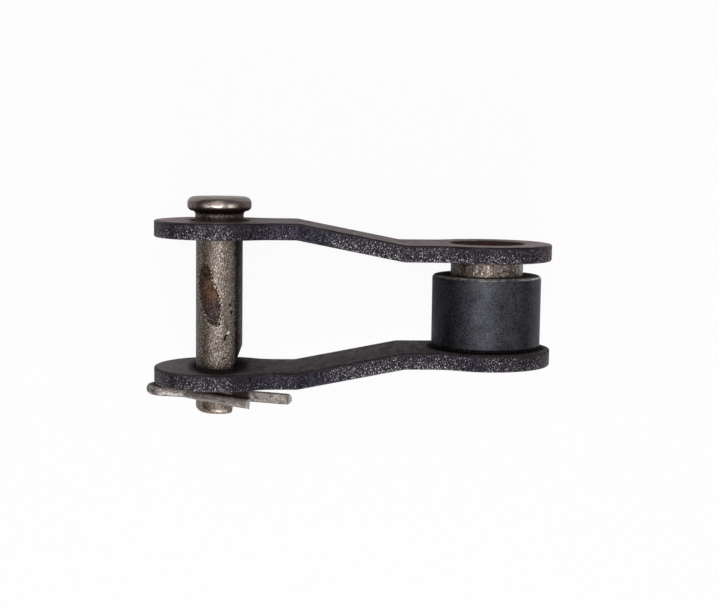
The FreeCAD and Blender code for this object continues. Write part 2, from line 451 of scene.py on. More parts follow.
def pushed(graph: Graph, geometry: object, distance: object, label: str, mark: object) -> object:
    """Moves geometry along its normals and stores a number on its points.

    Args:
        graph: The geometry tree's graph.
        geometry: The geometry to start from.
        distance: How far each point moves.
        label: Name of the stored attribute.
        mark: Value of the stored attribute.

    Returns:
        The changed geometry.
    """
    normal = graph.add("GeometryNodeInputNormal").outputs[0]
    offset = graph.add("ShaderNodeVectorMath", {0: normal, "Scale": distance}, operation="SCALE")
    moved = graph.add("GeometryNodeSetPosition", {"Geometry": geometry, "Offset": offset.outputs[0]})
    return stored(graph, moved.outputs[0], label, mark)


def finish_tree(graph: Graph, geometry: object, given: bpy.types.Node, result: bpy.types.Node) -> None:
    """Ends a geometry tree with real instances and its material.

    Args:
        graph: The geometry tree's graph.
        geometry: The geometry to end with.
        given: The group's input node, with the input Material.
        result: The group's output node.
    """
    real = graph.add("GeometryNodeRealizeInstances", {"Geometry": geometry})
    inputs = {"Geometry": real.outputs[0], "Material": given.outputs["Material"]}
    graph.feed(result, 0, graph.add("GeometryNodeSetMaterial", inputs).outputs[0])


def torn_edge_tree() -> bpy.types.NodeTree:
    """Tree that roughens a punched wall where the attribute wall is set, and records how far.

    Returns:
        The geometry node tree, with the attribute tear on its result.
    """
    graph, given, result = new_group(
        "Torn edge",
        "GeometryNodeTree",
        [
            ("Geometry", GEOMETRY, None),
            ("Depth", FLOAT, 0.00005),
            ("Grain", FLOAT, 0.0003),
            ("Stretch", FLOAT, 1.7),
            ("Seed", FLOAT, 0.0),
            ("Material", MATERIAL, None),
        ],
        [("Geometry", GEOMETRY)],
    )
    wall, along, through = (
        graph.add("GeometryNodeInputNamedAttribute", {"Name": name}, data_type="FLOAT").outputs[0]
        for name in ("wall", "along", "through")
    )
    grain = given.outputs["Grain"]
    across = graph.math("DIVIDE", along, grain)
    down = graph.math("DIVIDE", through, graph.times(grain, given.outputs["Stretch"]))
    where = graph.combined(across, down, given.outputs["Seed"])
    fine = graph.noise(where, 1.0, 3.0, 0.6)
    broad = graph.noise(where, 0.22, 2.0, 0.5)
    height = graph.scaled(fine, 0.7, graph.times(broad, 0.3))
    inward = graph.minus(height, 0.85)
    depth = graph.times(graph.times(inward, given.outputs["Depth"]), wall)
    torn = pushed(graph, given.outputs["Geometry"], depth, "tear", graph.times(height, wall))
    finish_tree(graph, torn, given, result)
    return graph.tree


def pitted_tree() -> bpy.types.NodeTree:
    """Tree that sinks small scattered pits into a surface and records them.

    Returns:
        The geometry node tree, with the attribute pit on its result.
    """
    graph, given, result = new_group(
        "Pitted surface",
        "GeometryNodeTree",
        [
            ("Geometry", GEOMETRY, None),
            ("Depth", FLOAT, 0.00003),
            ("Spacing", FLOAT, 0.0008),
            ("Width", FLOAT, 0.00016),
            ("Share", FLOAT, 0.5),
            ("Seed", VECTOR, (0.0, 0.0, 0.0)),
            ("Material", MATERIAL, None),
        ],
        [("Geometry", GEOMETRY)],
    )
    position = graph.add("GeometryNodeInputPosition").outputs[0]
    place = graph.vector_math("ADD", position, given.outputs["Seed"])
    ragged = graph.add("ShaderNodeTexNoise", {"Vector": place, "Scale": 4000.0, "Detail": 2.0})
    shift = graph.vector_math("SUBTRACT", ragged.outputs["Color"], (0.5, 0.5, 0.5))
    small = graph.vector_math("MULTIPLY", shift, (0.00025, 0.00025, 0.00025))
    spacing = given.outputs["Spacing"]
    inputs = {"Vector": graph.vector_math("ADD", place, small), "Scale": graph.math("DIVIDE", 1.0, spacing)}
    cells = graph.add("ShaderNodeTexVoronoi", inputs)
    distance = graph.times(cells.outputs["Distance"], spacing)
    chance = graph.parts(cells.outputs["Color"])
    chosen = graph.math("LESS_THAN", chance[0], given.outputs["Share"])
    width = graph.times(given.outputs["Width"], graph.plus(chance[1], 0.4))
    pit = graph.times(graph.ranged(distance, 0.0, width, 1.0, 0.0), chosen)
    sink = graph.times(graph.times(pit, given.outputs["Depth"]), -1.0)
    finish_tree(graph, pushed(graph, given.outputs["Geometry"], sink, "pit", pit), given, result)
    return graph.tree


def half_round_tree() -> bpy.types.NodeTree:
    """Tree that draws half-round wire along a flat curve and lays it where the cotter is.

    Returns:
        The geometry node tree, with the attribute along on its result.
    """
    graph, given, result = new_group(
        "Half-round wire",
        "GeometryNodeTree",
        [
            ("Geometry", GEOMETRY, None),
            ("Width", FLOAT, 0.0017),
            ("Turn", VECTOR, (0.0, 0.0, 0.0)),
            ("Place", VECTOR, (0.0, 0.0, 0.0)),
            ("Material", MATERIAL, None),
        ],
        [("Geometry", GEOMETRY)],
    )
    half = graph.times(given.outputs["Width"], 0.5)
    inputs = {"Resolution": 17, "Radius": half, "Start Angle": math.pi / 2, "Sweep Angle": math.pi}
    arc = graph.add("GeometryNodeCurveArc", inputs, mode="RADIUS")
    section = graph.add("GeometryNodeSetSplineCyclic", {"Geometry": arc.outputs[0], "Cyclic": True})
    upright = graph.add("GeometryNodeSetCurveNormal", {"Curve": given.outputs["Geometry"]}, mode="Z_UP")
    length = graph.add("GeometryNodeSplineParameter").outputs["Length"]
    inputs = {
        "Curve": stored(graph, upright.outputs[0], "along", length),
        "Profile Curve": section.outputs[0],
        "Scale": graph.add("GeometryNodeInputRadius").outputs[0],
        "Fill Caps": True,
    }
    swept = graph.add("GeometryNodeCurveToMesh", inputs)
    inputs = {
        "Geometry": swept.outputs[0],
        "Translation": given.outputs["Place"],
        "Rotation": given.outputs["Turn"],
    }
    laid = graph.add("GeometryNodeTransform", inputs)
    smooth = graph.add("GeometryNodeSetShadeSmooth", {"Geometry": laid.outputs[0], "Shade Smooth": True})
    finish_tree(graph, smooth.outputs[0], given, result)
    return graph.tree


# Shared surface effects


class Effects:
    """Shader groups that several finishes use, each built once."""

    def __init__(self) -> None:
        """Builds the groups."""
        self.mottle = self._mottle()
        self.scratches = self._scratches()

    def patches(self, graph: Graph, place: object, scale: float, low: float, high: float) -> object:
        """Mask of soft patches.

        Args:
            graph: The material's graph.
            place: Coordinates of the surface.
            scale: Patches to the metre.
            low: Level of the noise where the mask is 0.
            high: Level of the noise where the mask is 1.

        Returns:
            The mask's socket.
        """
        inputs = {"Vector": place, "Scale": scale, "Low": low, "High": high}
        return graph.add("ShaderNodeGroup", inputs, node_tree=self.mottle).outputs["Mask"]

    def scores(self, graph: Graph, place: object, stretch: Triple, share: float) -> object:
        """Mask of thin scratches.

        Args:
            graph: The material's graph.
            place: Coordinates of the surface.
            stretch: Streaks to the metre along each axis.
            share: Level of the noise where a scratch begins.

        Returns:
            The mask's socket.
        """
        inputs = {"Vector": place, "Stretch": stretch, "Share": share}
        return graph.add("ShaderNodeGroup", inputs, node_tree=self.scratches).outputs["Mask"]

    @staticmethod
    def _mottle() -> bpy.types.NodeTree:
        """Builds the group of soft patches between 0 and 1, with a set contrast.

        Returns:
            The shader node group.
        """
        graph, given, result = new_group(
            "Mottle",
            "ShaderNodeTree",
            [("Vector", VECTOR, None), ("Scale", FLOAT, 500.0), ("Low", FLOAT, 0.35), ("High", FLOAT, 0.65)],
            [("Mask", FLOAT)],
        )
        noise = graph.noise(given.outputs["Vector"], given.outputs["Scale"], 5.0, 0.6)
        graph.feed(result, "Mask", graph.ranged(noise, given.outputs["Low"], given.outputs["High"]))
        return graph.tree

    @staticmethod
    def _scratches() -> bpy.types.NodeTree:
        """Builds the group of thin streaks along the axis that is stretched least.

        Returns:
            The shader node group.
        """
        graph, given, result = new_group(
            "Scratches",
            "ShaderNodeTree",
            [("Vector", VECTOR, None), ("Stretch", VECTOR, (1.0, 1.0, 1.0)), ("Share", FLOAT, 0.6)],
            [("Mask", FLOAT)],
        )
        stretched = graph.vector_math("MULTIPLY", given.outputs["Vector"], given.outputs["Stretch"])
        noise = graph.noise(stretched, 1.0, 3.0, 0.7)
        share = given.outputs["Share"]
        graph.feed(result, "Mask", graph.ranged(noise, share, graph.plus(share, 0.12)))
        return graph.tree


@dataclass(frozen=True)
class Finish:
    """A surface finish; each kind adds its own nodes.

    Attributes:
        name: The material's name.
        metallic: How far the surface is bare metal.
    """

    name: str = "finish"
    metallic: float = 1.0

    def material(self, effects: Effects) -> bpy.types.Material:
        """Builds the material.

        Args:
            effects: The shared shader groups.

        Returns:
            The finished material.
        """
        made = bpy.data.materials.new(self.name)
        graph = cleared(made)
        shader = graph.add("ShaderNodeBsdfPrincipled", {"Metallic": self.metallic})
        graph.add("ShaderNodeOutputMaterial", {"Surface": shader.outputs[0]})
        self.paint(graph, shader, graph.add("ShaderNodeTexCoord").outputs["Object"], effects)
        return made

    def paint(self, graph: Graph, shader: bpy.types.Node, place: object, effects: Effects) -> None:
        """Adds the finish's own nodes.

        Args:
            graph: The material's graph.
            shader: The Principled node.
            place: Object coordinates.
            effects: The shared shader groups.
        """
        raise NotImplementedError

    @staticmethod
    def set_bump(
        graph: Graph, shader: bpy.types.Node, height: object, distance: float, strength: float
    ) -> None:
        """Feeds a height to the shader's normal."""
        inputs = {"Height": height, "Distance": distance, "Strength": strength}
        graph.feed(shader, "Normal", graph.add("ShaderNodeBump", inputs).outputs[0])


@dataclass(frozen=True)
class BlackenedPlate(Finish):
    """Blackened steel: smooth outer faces, inner ones with a scale-like mottle darkened as painted shade,
    torn punched walls with painted glints, and painted shade round the pin, the bush and the roller.
    """

    name: str = "blackened_plate"
    metallic: float = 0.85
    face: Colour = (0.192, 0.159, 0.157)
    face_dark: Colour = (0.068, 0.054, 0.055)
    # Colours of the inner faces, darker as painted shade of the gap between the plates.
    scale: Colour = (0.014, 0.011, 0.012)
    shaded_scale_light: Colour = (0.165, 0.141, 0.146)
    # Colour of the painted shade rings round the pin, the bush and the roller.
    painted_shade: Colour = (0.009, 0.005, 0.0045)
    hole: Colour = (0.052, 0.027, 0.025)
    wall: Colour = (0.011, 0.009, 0.013)
    wall_light: Colour = (0.078, 0.068, 0.084)
    smooth_wall: Colour = (0.070, 0.067, 0.092)
    # Colour of the flecks of painted glint on the torn walls.
    fleck: Colour = (0.72, 0.70, 0.71)
    pin_x: float = -0.0414
    # How much lighter the faces are towards the pin's end.
    lighter_pin_end: float = 0.66
    calm_from: float = -0.0400
    calm_to: float = -0.0275
    # Inner and outer radii of the painted shade rings, and of the edge of the brown inside the bush hole.
    pin_ring: Pair = (0.0036, 0.0053)
    bush_ring: Pair = (0.0057, 0.0060)
    roller_ring: Pair = (0.0086, 0.0096)
    hole_edge: Pair = (0.00565, 0.00575)
    grains_along: float = 6800.0
    grains_through: float = 4100.0
    calm: float = 0.64

    def paint(self, graph: Graph, shader: bpy.types.Node, place: object, effects: Effects) -> None:
        """Adds smooth faces, torn walls and their flecks of painted glint, and rings of painted shade."""
        wall = graph.attribute("wall")
        flat = graph.minus(1.0, wall)
        inner = graph.ranged(graph.attribute("through"), 0.0002, 0.0008, 1.0, 0.0)
        # Painted shade round the pin, the bush and the roller, and the pin's painted reflection.
        painted_shade, painted_shade_colour = self.painted_shade_rings(graph, place, inner)
        painted_shade = graph.times(painted_shade, flat)
        face = graph.mix(painted_shade, self.face_colour(graph, place, effects, inner), painted_shade_colour)
        torn, grain, light, torn_zone = self.torn_wall(graph, place)
        graph.feed(shader, "Base Color", graph.mix(wall, face, torn))
        graph.feed(shader, "Specular Tint", (1.0, 0.90, 0.91, 1.0))
        graph.feed(shader, "Specular IOR Level", 0.1)
        scaly_and_shaded = graph.times(graph.times(inner, flat), 0.7)
        scaly_and_shaded = graph.larger(scaly_and_shaded, graph.times(painted_shade, self.metallic))
        graph.feed(shader, "Metallic", graph.minus(self.metallic, scaly_and_shaded))
        smooth = effects.patches(graph, place, 900.0, 0.3, 0.7)
        face_rough = graph.plus(graph.ranged(smooth, 0.0, 1.0, 0.34, 0.50), graph.times(inner, 0.20))
        face_rough = graph.plus(face_rough, graph.times(painted_shade, 0.5))
        wall_rough = graph.ranged(light, 0.0, 1.0, 0.60, 0.42)
        graph.feed(shader, "Roughness", graph.ranged(wall, 0.0, 1.0, face_rough, wall_rough, Ease.LINEAR))
        relief = graph.times(graph.times(grain, torn_zone), wall)
        fine = graph.noise(place, 5200.0, 3.0, 0.6)
        skin_relief = graph.times(fine, graph.scaled(inner, 0.30, 0.10))
        self.set_bump(graph, shader, graph.plus(relief, skin_relief), 0.00010, 1.0)

    def torn_wall(self, graph: Graph, place: object) -> tuple[object, object, object, object]:
        """Paints the punched walls with flecks of painted glint, calmer between the pin and the first bend.

        Args:
            graph: The material's graph.
            place: Object coordinates.

        Returns:
            The wall's colour, its grain, how light the grain is and how torn each stretch is.
        """
        across = graph.times(graph.attribute("along"), self.grains_along)
        down = graph.times(graph.attribute("through"), self.grains_through)
        skin = graph.combined(across, down, 3.7)
        grain = graph.noise(skin, 1.0, 2.0, 0.65)
        drawn = graph.combined(across, graph.times(down, 0.15), 9.1)
        streak = graph.ranged(graph.noise(drawn, 0.9, 3.0, 0.6), 0.35, 0.65)
        torn_zone = graph.ranged(graph.noise(skin, 0.024, 2.0, 0.5), 0.30, 0.48)
        x = graph.parts(place)["X"]
        calm_start = graph.ranged(x, self.calm_from - 0.0008, self.calm_from + 0.0012)
        calm_end = graph.ranged(x, self.calm_to - 0.0015, self.calm_to + 0.001, 1.0, 0.0)
        calmed = graph.times(calm_start, calm_end)
        torn_zone = graph.times(torn_zone, graph.scaled(calmed, -self.calm, 1.0))
        rough_height = graph.plus(grain, graph.times(graph.attribute("tear"), 0.3))
        light = graph.ranged(rough_height, 0.50, 0.80)
        torn = graph.mix(light, self.wall, self.wall_light)
        calm = graph.mix(graph.times(streak, light), self.wall, self.smooth_wall)
        torn = graph.mix(torn_zone, calm, torn)
        burr = graph.ranged(graph.attribute("burr"), 0.35, 1.0, 0.0, 0.045)
        edge = graph.minus(graph.ranged(torn_zone, 0.0, 1.0, 0.70, 0.622), burr)
        # Flecks of painted glint where the torn grain is high.
        fleck = graph.ranged(grain, edge, graph.plus(edge, 0.05))
        fleck = graph.times(fleck, graph.ranged(streak, 0.0, 1.0, 0.35, 1.0))
        return graph.mix(fleck, torn, self.fleck), grain, light, torn_zone

    def painted_shade_rings(self, graph: Graph, place: object, inner: object) -> tuple[object, object]:
        """Paints dark rings of painted shade round the pin, the bush and the roller, with the pin's ring
        stretched in height on the inner faces as its painted reflection, and brown inside the bush hole.

        Args:
            graph: The material's graph.
            place: Object coordinates.
            inner: Mask of the inner face.

        Returns:
            The rings' mask and their colour.
        """
        parts = graph.parts(place)

        def distance(axis_x: float, squeeze: object) -> object:
            """Distance from an axis along Y, with heights squeezed."""
            across = graph.minus(parts["X"], axis_x)
            rise = graph.times(parts["Z"], squeeze)
            return graph.math("SQRT", graph.scaled(rise, rise, graph.times(across, across)))

        # The pin's ring is stretched in height, most on the inner faces, as the pin's painted reflection.
        from_pin = distance(self.pin_x, graph.ranged(inner, 0.0, 1.0, 0.75, 0.46))
        at_pin = graph.ranged(from_pin, *self.pin_ring, 1.0, 0.0)
        from_bush = distance(0.0, 1.0)
        at_bush = graph.ranged(from_bush, *self.bush_ring, 0.97, 0.0)
        at_roller = graph.times(graph.ranged(from_bush, *self.roller_ring, 1.0, 0.0), inner)
        colour = graph.mix(graph.ranged(from_bush, *self.hole_edge, 1.0, 0.0), self.painted_shade, self.hole)
        return graph.larger(at_pin, graph.larger(at_bush, at_roller)), colour

    def face_colour(self, graph: Graph, place: object, effects: Effects, inner: object) -> object:
        """Paints the flat faces: darker on the inner ones as painted shade of the gap between the plates,
        lighter towards the pin's end, and darker on the rounded rims.

        Args:
            graph: The material's graph.
            place: Object coordinates.
            effects: The shared shader groups.
            inner: Mask of the inner face.

        Returns:
            The faces' colour.
        """
        rolled = graph.vector_math("MULTIPLY", place, (1.0, 1.0, 0.45))
        soft = effects.patches(graph, rolled, 420.0, 0.34, 0.66)
        speck = effects.patches(graph, rolled, 1900.0, 0.36, 0.64)
        scored = effects.scores(graph, place, (160.0, 900.0, 700.0), 0.63)
        x = graph.parts(place)["X"]
        # Faces lighter towards the pin's end.
        lighter_pin_end = graph.ranged(x, self.pin_x - 0.009, self.pin_x + 0.004, self.lighter_pin_end, 0.0)
        tone = graph.plus(graph.times(soft, 0.45), graph.times(speck, 0.40))
        tone = graph.times(graph.plus(tone, lighter_pin_end), graph.ranged(scored, 0.0, 1.0, 1.0, 0.35))
        face = graph.mix(tone, self.face_dark, self.face)
        # Inner faces: darker, as painted shade of the gap between the plates, over a mottle.
        scaly_and_shaded = graph.mix(graph.scaled(tone, 0.78, 0.13), self.scale, self.shaded_scale_light)
        face = graph.mix(inner, face, scaly_and_shaded)
        return graph.mix(graph.times(graph.attribute("rim"), 0.75), face, self.wall)


@dataclass(frozen=True)
class BlackRoller(Finish):
    """Blackened satin roller with a worn, bright rim."""

    name: str = "blackened_roller"
    skin: Colour = (0.086, 0.086, 0.098)
    dark: Colour = (0.014, 0.015, 0.021)
    # Colour of the painted shade on the ends and in the bore.
    end: Colour = (0.004, 0.004, 0.004)
    bare: Colour = (0.95, 0.92, 0.91)

    def paint(self, graph: Graph, shader: bpy.types.Node, place: object, effects: Effects) -> None:
        """Adds a grained satin skin, handling scratches, bare rims and painted shade on the ends and in the
        bore.
        """
        soft = effects.patches(graph, place, 520.0, 0.25, 0.75)
        grain = effects.patches(graph, place, 3900.0, 0.36, 0.64)
        tone = graph.plus(graph.times(soft, 0.35), graph.times(grain, 0.65))
        # Painted shade on the ends and in the bore, which are also rougher and not metallic.
        end_face = graph.attribute("end_face")
        skin = graph.mix(tone, self.dark, self.skin)
        skin = graph.mix(graph.times(end_face, 0.95), skin, self.end)
        worn = graph.ranged(effects.patches(graph, place, 1500.0, 0.44, 0.57), 0.0, 1.0, 0.45, 1.0)
        scuff = effects.scores(graph, place, (2600.0, 420.0, 2600.0), 0.64)
        hair = effects.scores(graph, place, (500.0, 5200.0, 700.0), 0.68)
        bare = graph.times(graph.attribute("rim"), worn, clamp=True)
        bare = graph.larger(bare, graph.times(graph.larger(scuff, hair), 0.10))
        graph.feed(shader, "Base Color", graph.mix(bare, skin, self.bare))
        rough = graph.ranged(grain, 0.0, 1.0, 0.33, 0.45)
        graph.feed(shader, "Roughness", graph.scaled(end_face, 0.50, rough))
        graph.feed(shader, "Specular Tint", (0.72, 0.72, 0.76, 1.0))
        graph.feed(shader, "Metallic", graph.scaled(end_face, -1.0, 1.0))
        self.set_bump(graph, shader, graph.noise(place, 4800.0, 3.0, 0.6), 0.00005, 0.8)


@dataclass(frozen=True)
class WornSteel(Finish):
    """Bare worn steel with brown stains, pits and a turned grain."""

    name: str = "worn_steel"
    bright: Colour = (0.270, 0.226, 0.196)
    dull: Colour = (0.090, 0.071, 0.060)
    # Colour of painted highlights and glints.
    glint: Colour = (0.80, 0.71, 0.63)
    handled: Colour = (0.165, 0.128, 0.119)
    stain: Colour = (0.08, 0.050, 0.034)
    pit: Colour = (0.02, 0.015, 0.012)
    # Colour of the painted shade and dirt.
    grime: Colour = (0.016, 0.009, 0.008)
    grain: float = 3700.0
    roughness: float = 0.42
    stain_share: float = 0.62

    def paint(self, graph: Graph, shader: bpy.types.Node, place: object, effects: Effects) -> None:
        """Adds patches of wear, brown stains, pits and a fine bump."""
        colour, pits = self.ground(graph, place, effects)
        graph.feed(shader, "Base Color", colour)
        fine = graph.noise(place, 4600.0, 3.0, 0.6)
        rough = graph.ranged(fine, 0.3, 0.7, self.roughness - 0.08, self.roughness + 0.08)
        rough = graph.plus(rough, graph.times(pits, 0.3))
        polish = graph.attribute("polish")
        rough = graph.scaled(polish, -0.06, rough)
        graph.feed(shader, "Roughness", graph.scaled(graph.attribute("gloss"), -0.22, rough))
        graph.feed(shader, "Metallic", graph.ranged(graph.attribute("grime"), 0.7, 0.95, 1.0, 0.10))
        graph.feed(shader, "Specular IOR Level", 0.12)
        height = graph.times(fine, graph.scaled(polish, -0.8, 1.0))
        self.set_bump(graph, shader, height, 0.00004, 0.9)

    def ground(self, graph: Graph, place: object, effects: Effects) -> tuple[object, object]:
        """Paints the worn metal.

        Args:
            graph: The material's graph.
            place: Object coordinates.
            effects: The shared shader groups.

        Returns:
            The metal's colour and the mask of its pits.
        """
        worn = effects.patches(graph, place, 700.0, 0.30, 0.70)
        pepper = effects.patches(graph, place, self.grain, 0.42, 0.58)
        turned = graph.vector_math("MULTIPLY", place, (4800.0, 620.0, 4800.0))
        streak = graph.ranged(graph.noise(turned, 1.0, 3.0, 0.65), 0.38, 0.62)
        tone = graph.plus(graph.times(worn, 0.18), graph.times(pepper, 0.40))
        metal = graph.mix(graph.scaled(streak, 0.42, tone), self.dull, self.bright)
        metal = graph.mix(graph.times(graph.attribute("polish"), 0.7), metal, self.handled)
        # Painted highlight in the glint colour.
        metal = graph.mix(graph.times(graph.attribute("gloss"), 0.9), metal, self.glint)
        fine = graph.vector_math("MULTIPLY", place, (self.grain * 1.5, self.grain * 0.9, self.grain * 1.5))
        salt = graph.noise(fine, 1.0, 1.0, 0.5)
        rough_part = graph.scaled(graph.attribute("polish"), -0.8, 1.0)
        dark = graph.times(graph.ranged(salt, 0.34, 0.43, 0.85, 0.0), rough_part)
        metal = graph.mix(dark, metal, self.stain)
        pale = graph.times(graph.ranged(salt, 0.58, 0.68, 0.0, 0.8), rough_part)
        metal = graph.mix(pale, metal, self.glint)
        brown = effects.patches(graph, place, 330.0, self.stain_share, self.stain_share + 0.1)
        metal = graph.mix(graph.times(brown, 0.7), metal, self.stain)
        # Painted shade and dirt, uneven along the grain.
        uneven = graph.ranged(streak, 0.0, 1.0, 1.06, 0.92)
        grime = graph.times(graph.attribute("grime"), uneven, clamp=True)
        metal = graph.mix(grime, metal, self.grime)
        pits = graph.ranged(graph.attribute("pit"), 0.15, 0.6)
        return graph.mix(pits, metal, self.pit), pits


@dataclass(frozen=True)
class RustedPin(WornSteel):
    """Worn pin with a long patch of rust: a dark top, an olive band and an orange and purple foot."""

    name: str = "rusted_pin"
    rim: Colour = (0.034, 0.014, 0.010)
    rust: Colour = (0.235, 0.110, 0.052)
    purple: Colour = (0.105, 0.072, 0.074)
    blotch: Colour = (0.062, 0.029, 0.023)
    olive: Colour = (0.130, 0.090, 0.044)
    # Colour of the painted glint on the chipped spot.
    bare: Colour = (0.98, 0.97, 0.95)
    grain: float = 4800.0
    axis_x: float = -0.0414
    orange_low: float = 0.0008
    blotch_low: float = 0.0047

    def ground(self, graph: Graph, place: object, effects: Effects) -> tuple[object, object]:
        """Paints the worn metal, with the rust, its stains and the dark marks over it.

        Args:
            graph: The material's graph.
            place: Object coordinates.
            effects: The shared shader groups.

        Returns:
            The pin's colour and the mask of its pits and rust.
        """
        metal, pits = super().ground(graph, place, effects)
        ragged = graph.minus(graph.noise(place, 2300.0, 5.0, 0.75), 0.5)
        inside = graph.scaled(ragged, 1.5, graph.attribute("rust"))
        patchy = effects.patches(graph, place, 1300.0, 0.38, 0.62)
        soft = graph.scaled(ragged, 1.6, graph.attribute("olive"))
        stained = graph.ranged(soft, 0.30, 0.95, 0.0, 0.8)
        body, above = self.rust_body(graph, place, ragged, patchy)
        body = graph.mix(stained, body, self.olive)
        deep = graph.ranged(inside, 0.22, 0.55)
        rusty = graph.mix(graph.larger(deep, graph.times(above, 0.6)), self.rim, body)
        rusty = graph.mix(graph.times(stained, 0.6), rusty, self.olive)
        metal = graph.mix(graph.times(stained, 0.8), metal, self.olive)
        bits = graph.ranged(graph.noise(place, 4300.0, 2.0, 0.6), 0.53, 0.63)
        covered = graph.times(graph.ranged(inside, -0.10, 0.12), graph.scaled(bits, -0.18, 0.96))
        metal = graph.mix(covered, metal, rusty)
        at_edge = graph.times(graph.ranged(inside, -0.25, 0.0), graph.ranged(inside, 0.10, 0.55, 1.0, 0.15))
        metal = graph.mix(graph.times(graph.times(bits, at_edge), 0.8), metal, self.glint)
        metal = graph.mix(graph.ranged(graph.attribute("mark"), 0.25, 0.7), metal, self.pit)
        # Painted glint on a chipped spot.
        chip = graph.ranged(graph.attribute("chip"), 0.25, 0.45)
        return graph.mix(chip, metal, self.bare), graph.larger(pits, covered)

    def rust_body(self, graph: Graph, place: object, ragged: object, patchy: object) -> tuple[object, object]:
        """Paints the rust inside its edge: purple low, orange in the middle, a dark blotch at the top.

        Args:
            graph: The material's graph.
            place: Object coordinates.
            ragged: Noise about 0 that makes the borders uneven.
            patchy: Mask of soft patches.

        Returns:
            The rust's colour and the mask of its dark top.
        """
        turned = graph.vector_math("MULTIPLY", place, (3600.0, 520.0, 3600.0))
        drawn = graph.noise(turned, 1.0, 2.0, 0.6)
        parts = graph.parts(place)
        height = graph.scaled(ragged, 0.0024, parts["Y"])
        lean = graph.minus(self.axis_x, parts["X"])
        orange = graph.ranged(height, self.orange_low - 0.001, self.orange_low + 0.0008)
        body = graph.mix(orange, self.purple, self.rust)
        body = graph.mix(graph.ranged(drawn, 0.42, 0.58, 0.70, 0.0), body, self.rim)
        body = graph.mix(graph.ranged(lean, 0.0013, 0.0024, 0.0, 0.75), body, self.blotch)
        body = graph.mix(graph.times(patchy, 0.25), body, self.rim)
        leaning = graph.scaled(lean, 0.6, height)
        above = graph.ranged(leaning, self.blotch_low - 0.0004, self.blotch_low + 0.0003)
        return graph.mix(above, body, graph.mix(patchy, self.rim, self.blotch)), above


@dataclass(frozen=True)
class DrawnWire(Finish):
    """Dull drawn wire with lengthwise grain."""

    name: str = "drawn_wire"
    light: Colour = (0.46, 0.41, 0.385)
    dull: Colour = (0.085, 0.070, 0.065)
    fleck: Colour = (0.66, 0.63, 0.61)
    # Colour of the painted shade.
    grime: Colour = (0.020, 0.014, 0.012)
    axis: Pair = (-0.0414, -0.0144)
    across: Triple = (0.0802, 0.9968, 0.0)
    length: float = 0.05
    shaded_from: float = 0.0061
    shaded_to: float = 0.0149
    plain_from: float = 0.026

    def paint(self, graph: Graph, shader: bpy.types.Node, place: object, effects: Effects) -> None:
        """Adds patches, flecks and a lengthwise grain."""
        soft = effects.patches(graph, place, 1100.0, 0.38, 0.62)
        drawn = graph.vector_math("MULTIPLY", place, (1500.0, 5200.0, 5200.0))
        grain = graph.noise(drawn, 1.0, 3.0, 0.6)
        tone = graph.plus(graph.times(soft, 0.68), graph.ranged(grain, 0.3, 0.7, 0.0, 0.34))
        along = graph.attribute("along")
        plain = graph.ranged(along, self.plain_from, self.plain_from + 0.003, 0.0, 0.65)
        tone = graph.scaled(plain, graph.minus(0.42, tone), tone)
        colour = graph.mix(tone, self.dull, self.light)
        fleck = effects.patches(graph, place, 3600.0, 0.56, 0.64)
        colour = graph.mix(graph.times(fleck, 0.8), colour, self.fleck)
        cut = graph.ranged(along, self.length - 0.00035, self.length - 0.0001)
        colour = graph.mix(graph.times(cut, 0.6), colour, self.fleck)
        # Painted shade on the long leg's edges, its tip and the stretch by the pin.
        colour = graph.mix(self.shaded_and_grimy(graph, place, along), colour, self.grime)
        graph.feed(shader, "Base Color", colour)
        graph.feed(shader, "Roughness", graph.ranged(soft, 0.0, 1.0, 0.50, 0.66))
        self.set_bump(graph, shader, graph.noise(place, 4200.0, 3.0, 0.6), 0.00004, 0.8)

    def shaded_and_grimy(self, graph: Graph, place: object, along: object) -> object:
        """Marks painted shade at the long leg's edges and tip, and where the pin hides the leg.

        Args:
            graph: The material's graph.
            place: Object coordinates.
            along: Distance along the wire from the long leg's tip.

        Returns:
            The painted shade's mask.
        """
        rise = graph.vector_math("SUBTRACT", place, (*self.axis, 0.0))
        turned = graph.add("ShaderNodeVectorMath", {0: rise, 1: self.across}, operation="DOT_PRODUCT")
        across = turned.outputs["Value"]
        edge = graph.ranged(across, 0.00050, 0.00075, 0.0, 0.8)
        edge = graph.larger(edge, graph.ranged(across, -0.00080, -0.00062, 0.5, 0.0))
        from_tip = graph.math("ABSOLUTE", graph.minus(along, 0.0007))
        edge = graph.larger(edge, graph.ranged(from_tip, 0.0, 0.0003, 0.5, 0.0))
        shaded = graph.ranged(along, self.shaded_from, self.shaded_from + 0.0009, 0.0, 0.93)
        shaded_end = graph.ranged(along, self.shaded_to, self.shaded_to + 0.0004, 1.0, 0.0)
        return graph.larger(edge, graph.times(shaded, shaded_end))


# Side plates


@dataclass
class Skin:
    """Surface points of a plate, row by row with their marks, and the faces between them."""

    rows: list[Array] = field(default_factory=list)
    faces: list[tuple[int, ...]] = field(default_factory=list)
    total: int = 0

    def add(
        self, points: Array, depth: float, torn: float = 0.0, rim: float = 0.0, along: Array | float = 0.0
    ) -> None:
        """Adds points at one depth.

        Args:
            points: X and Z of each point on the flat blank.
            depth: Their distance from the inner face.
            torn: How torn the wall is there.
            rim: 1 on a rounded rim.
            along: Distance along the outline.
        """
        marks = [np.broadcast_to(value, len(points)) for value in (depth, torn, rim, along)]
        self.rows.append(np.column_stack([points, *marks]))
        self.total += len(points)


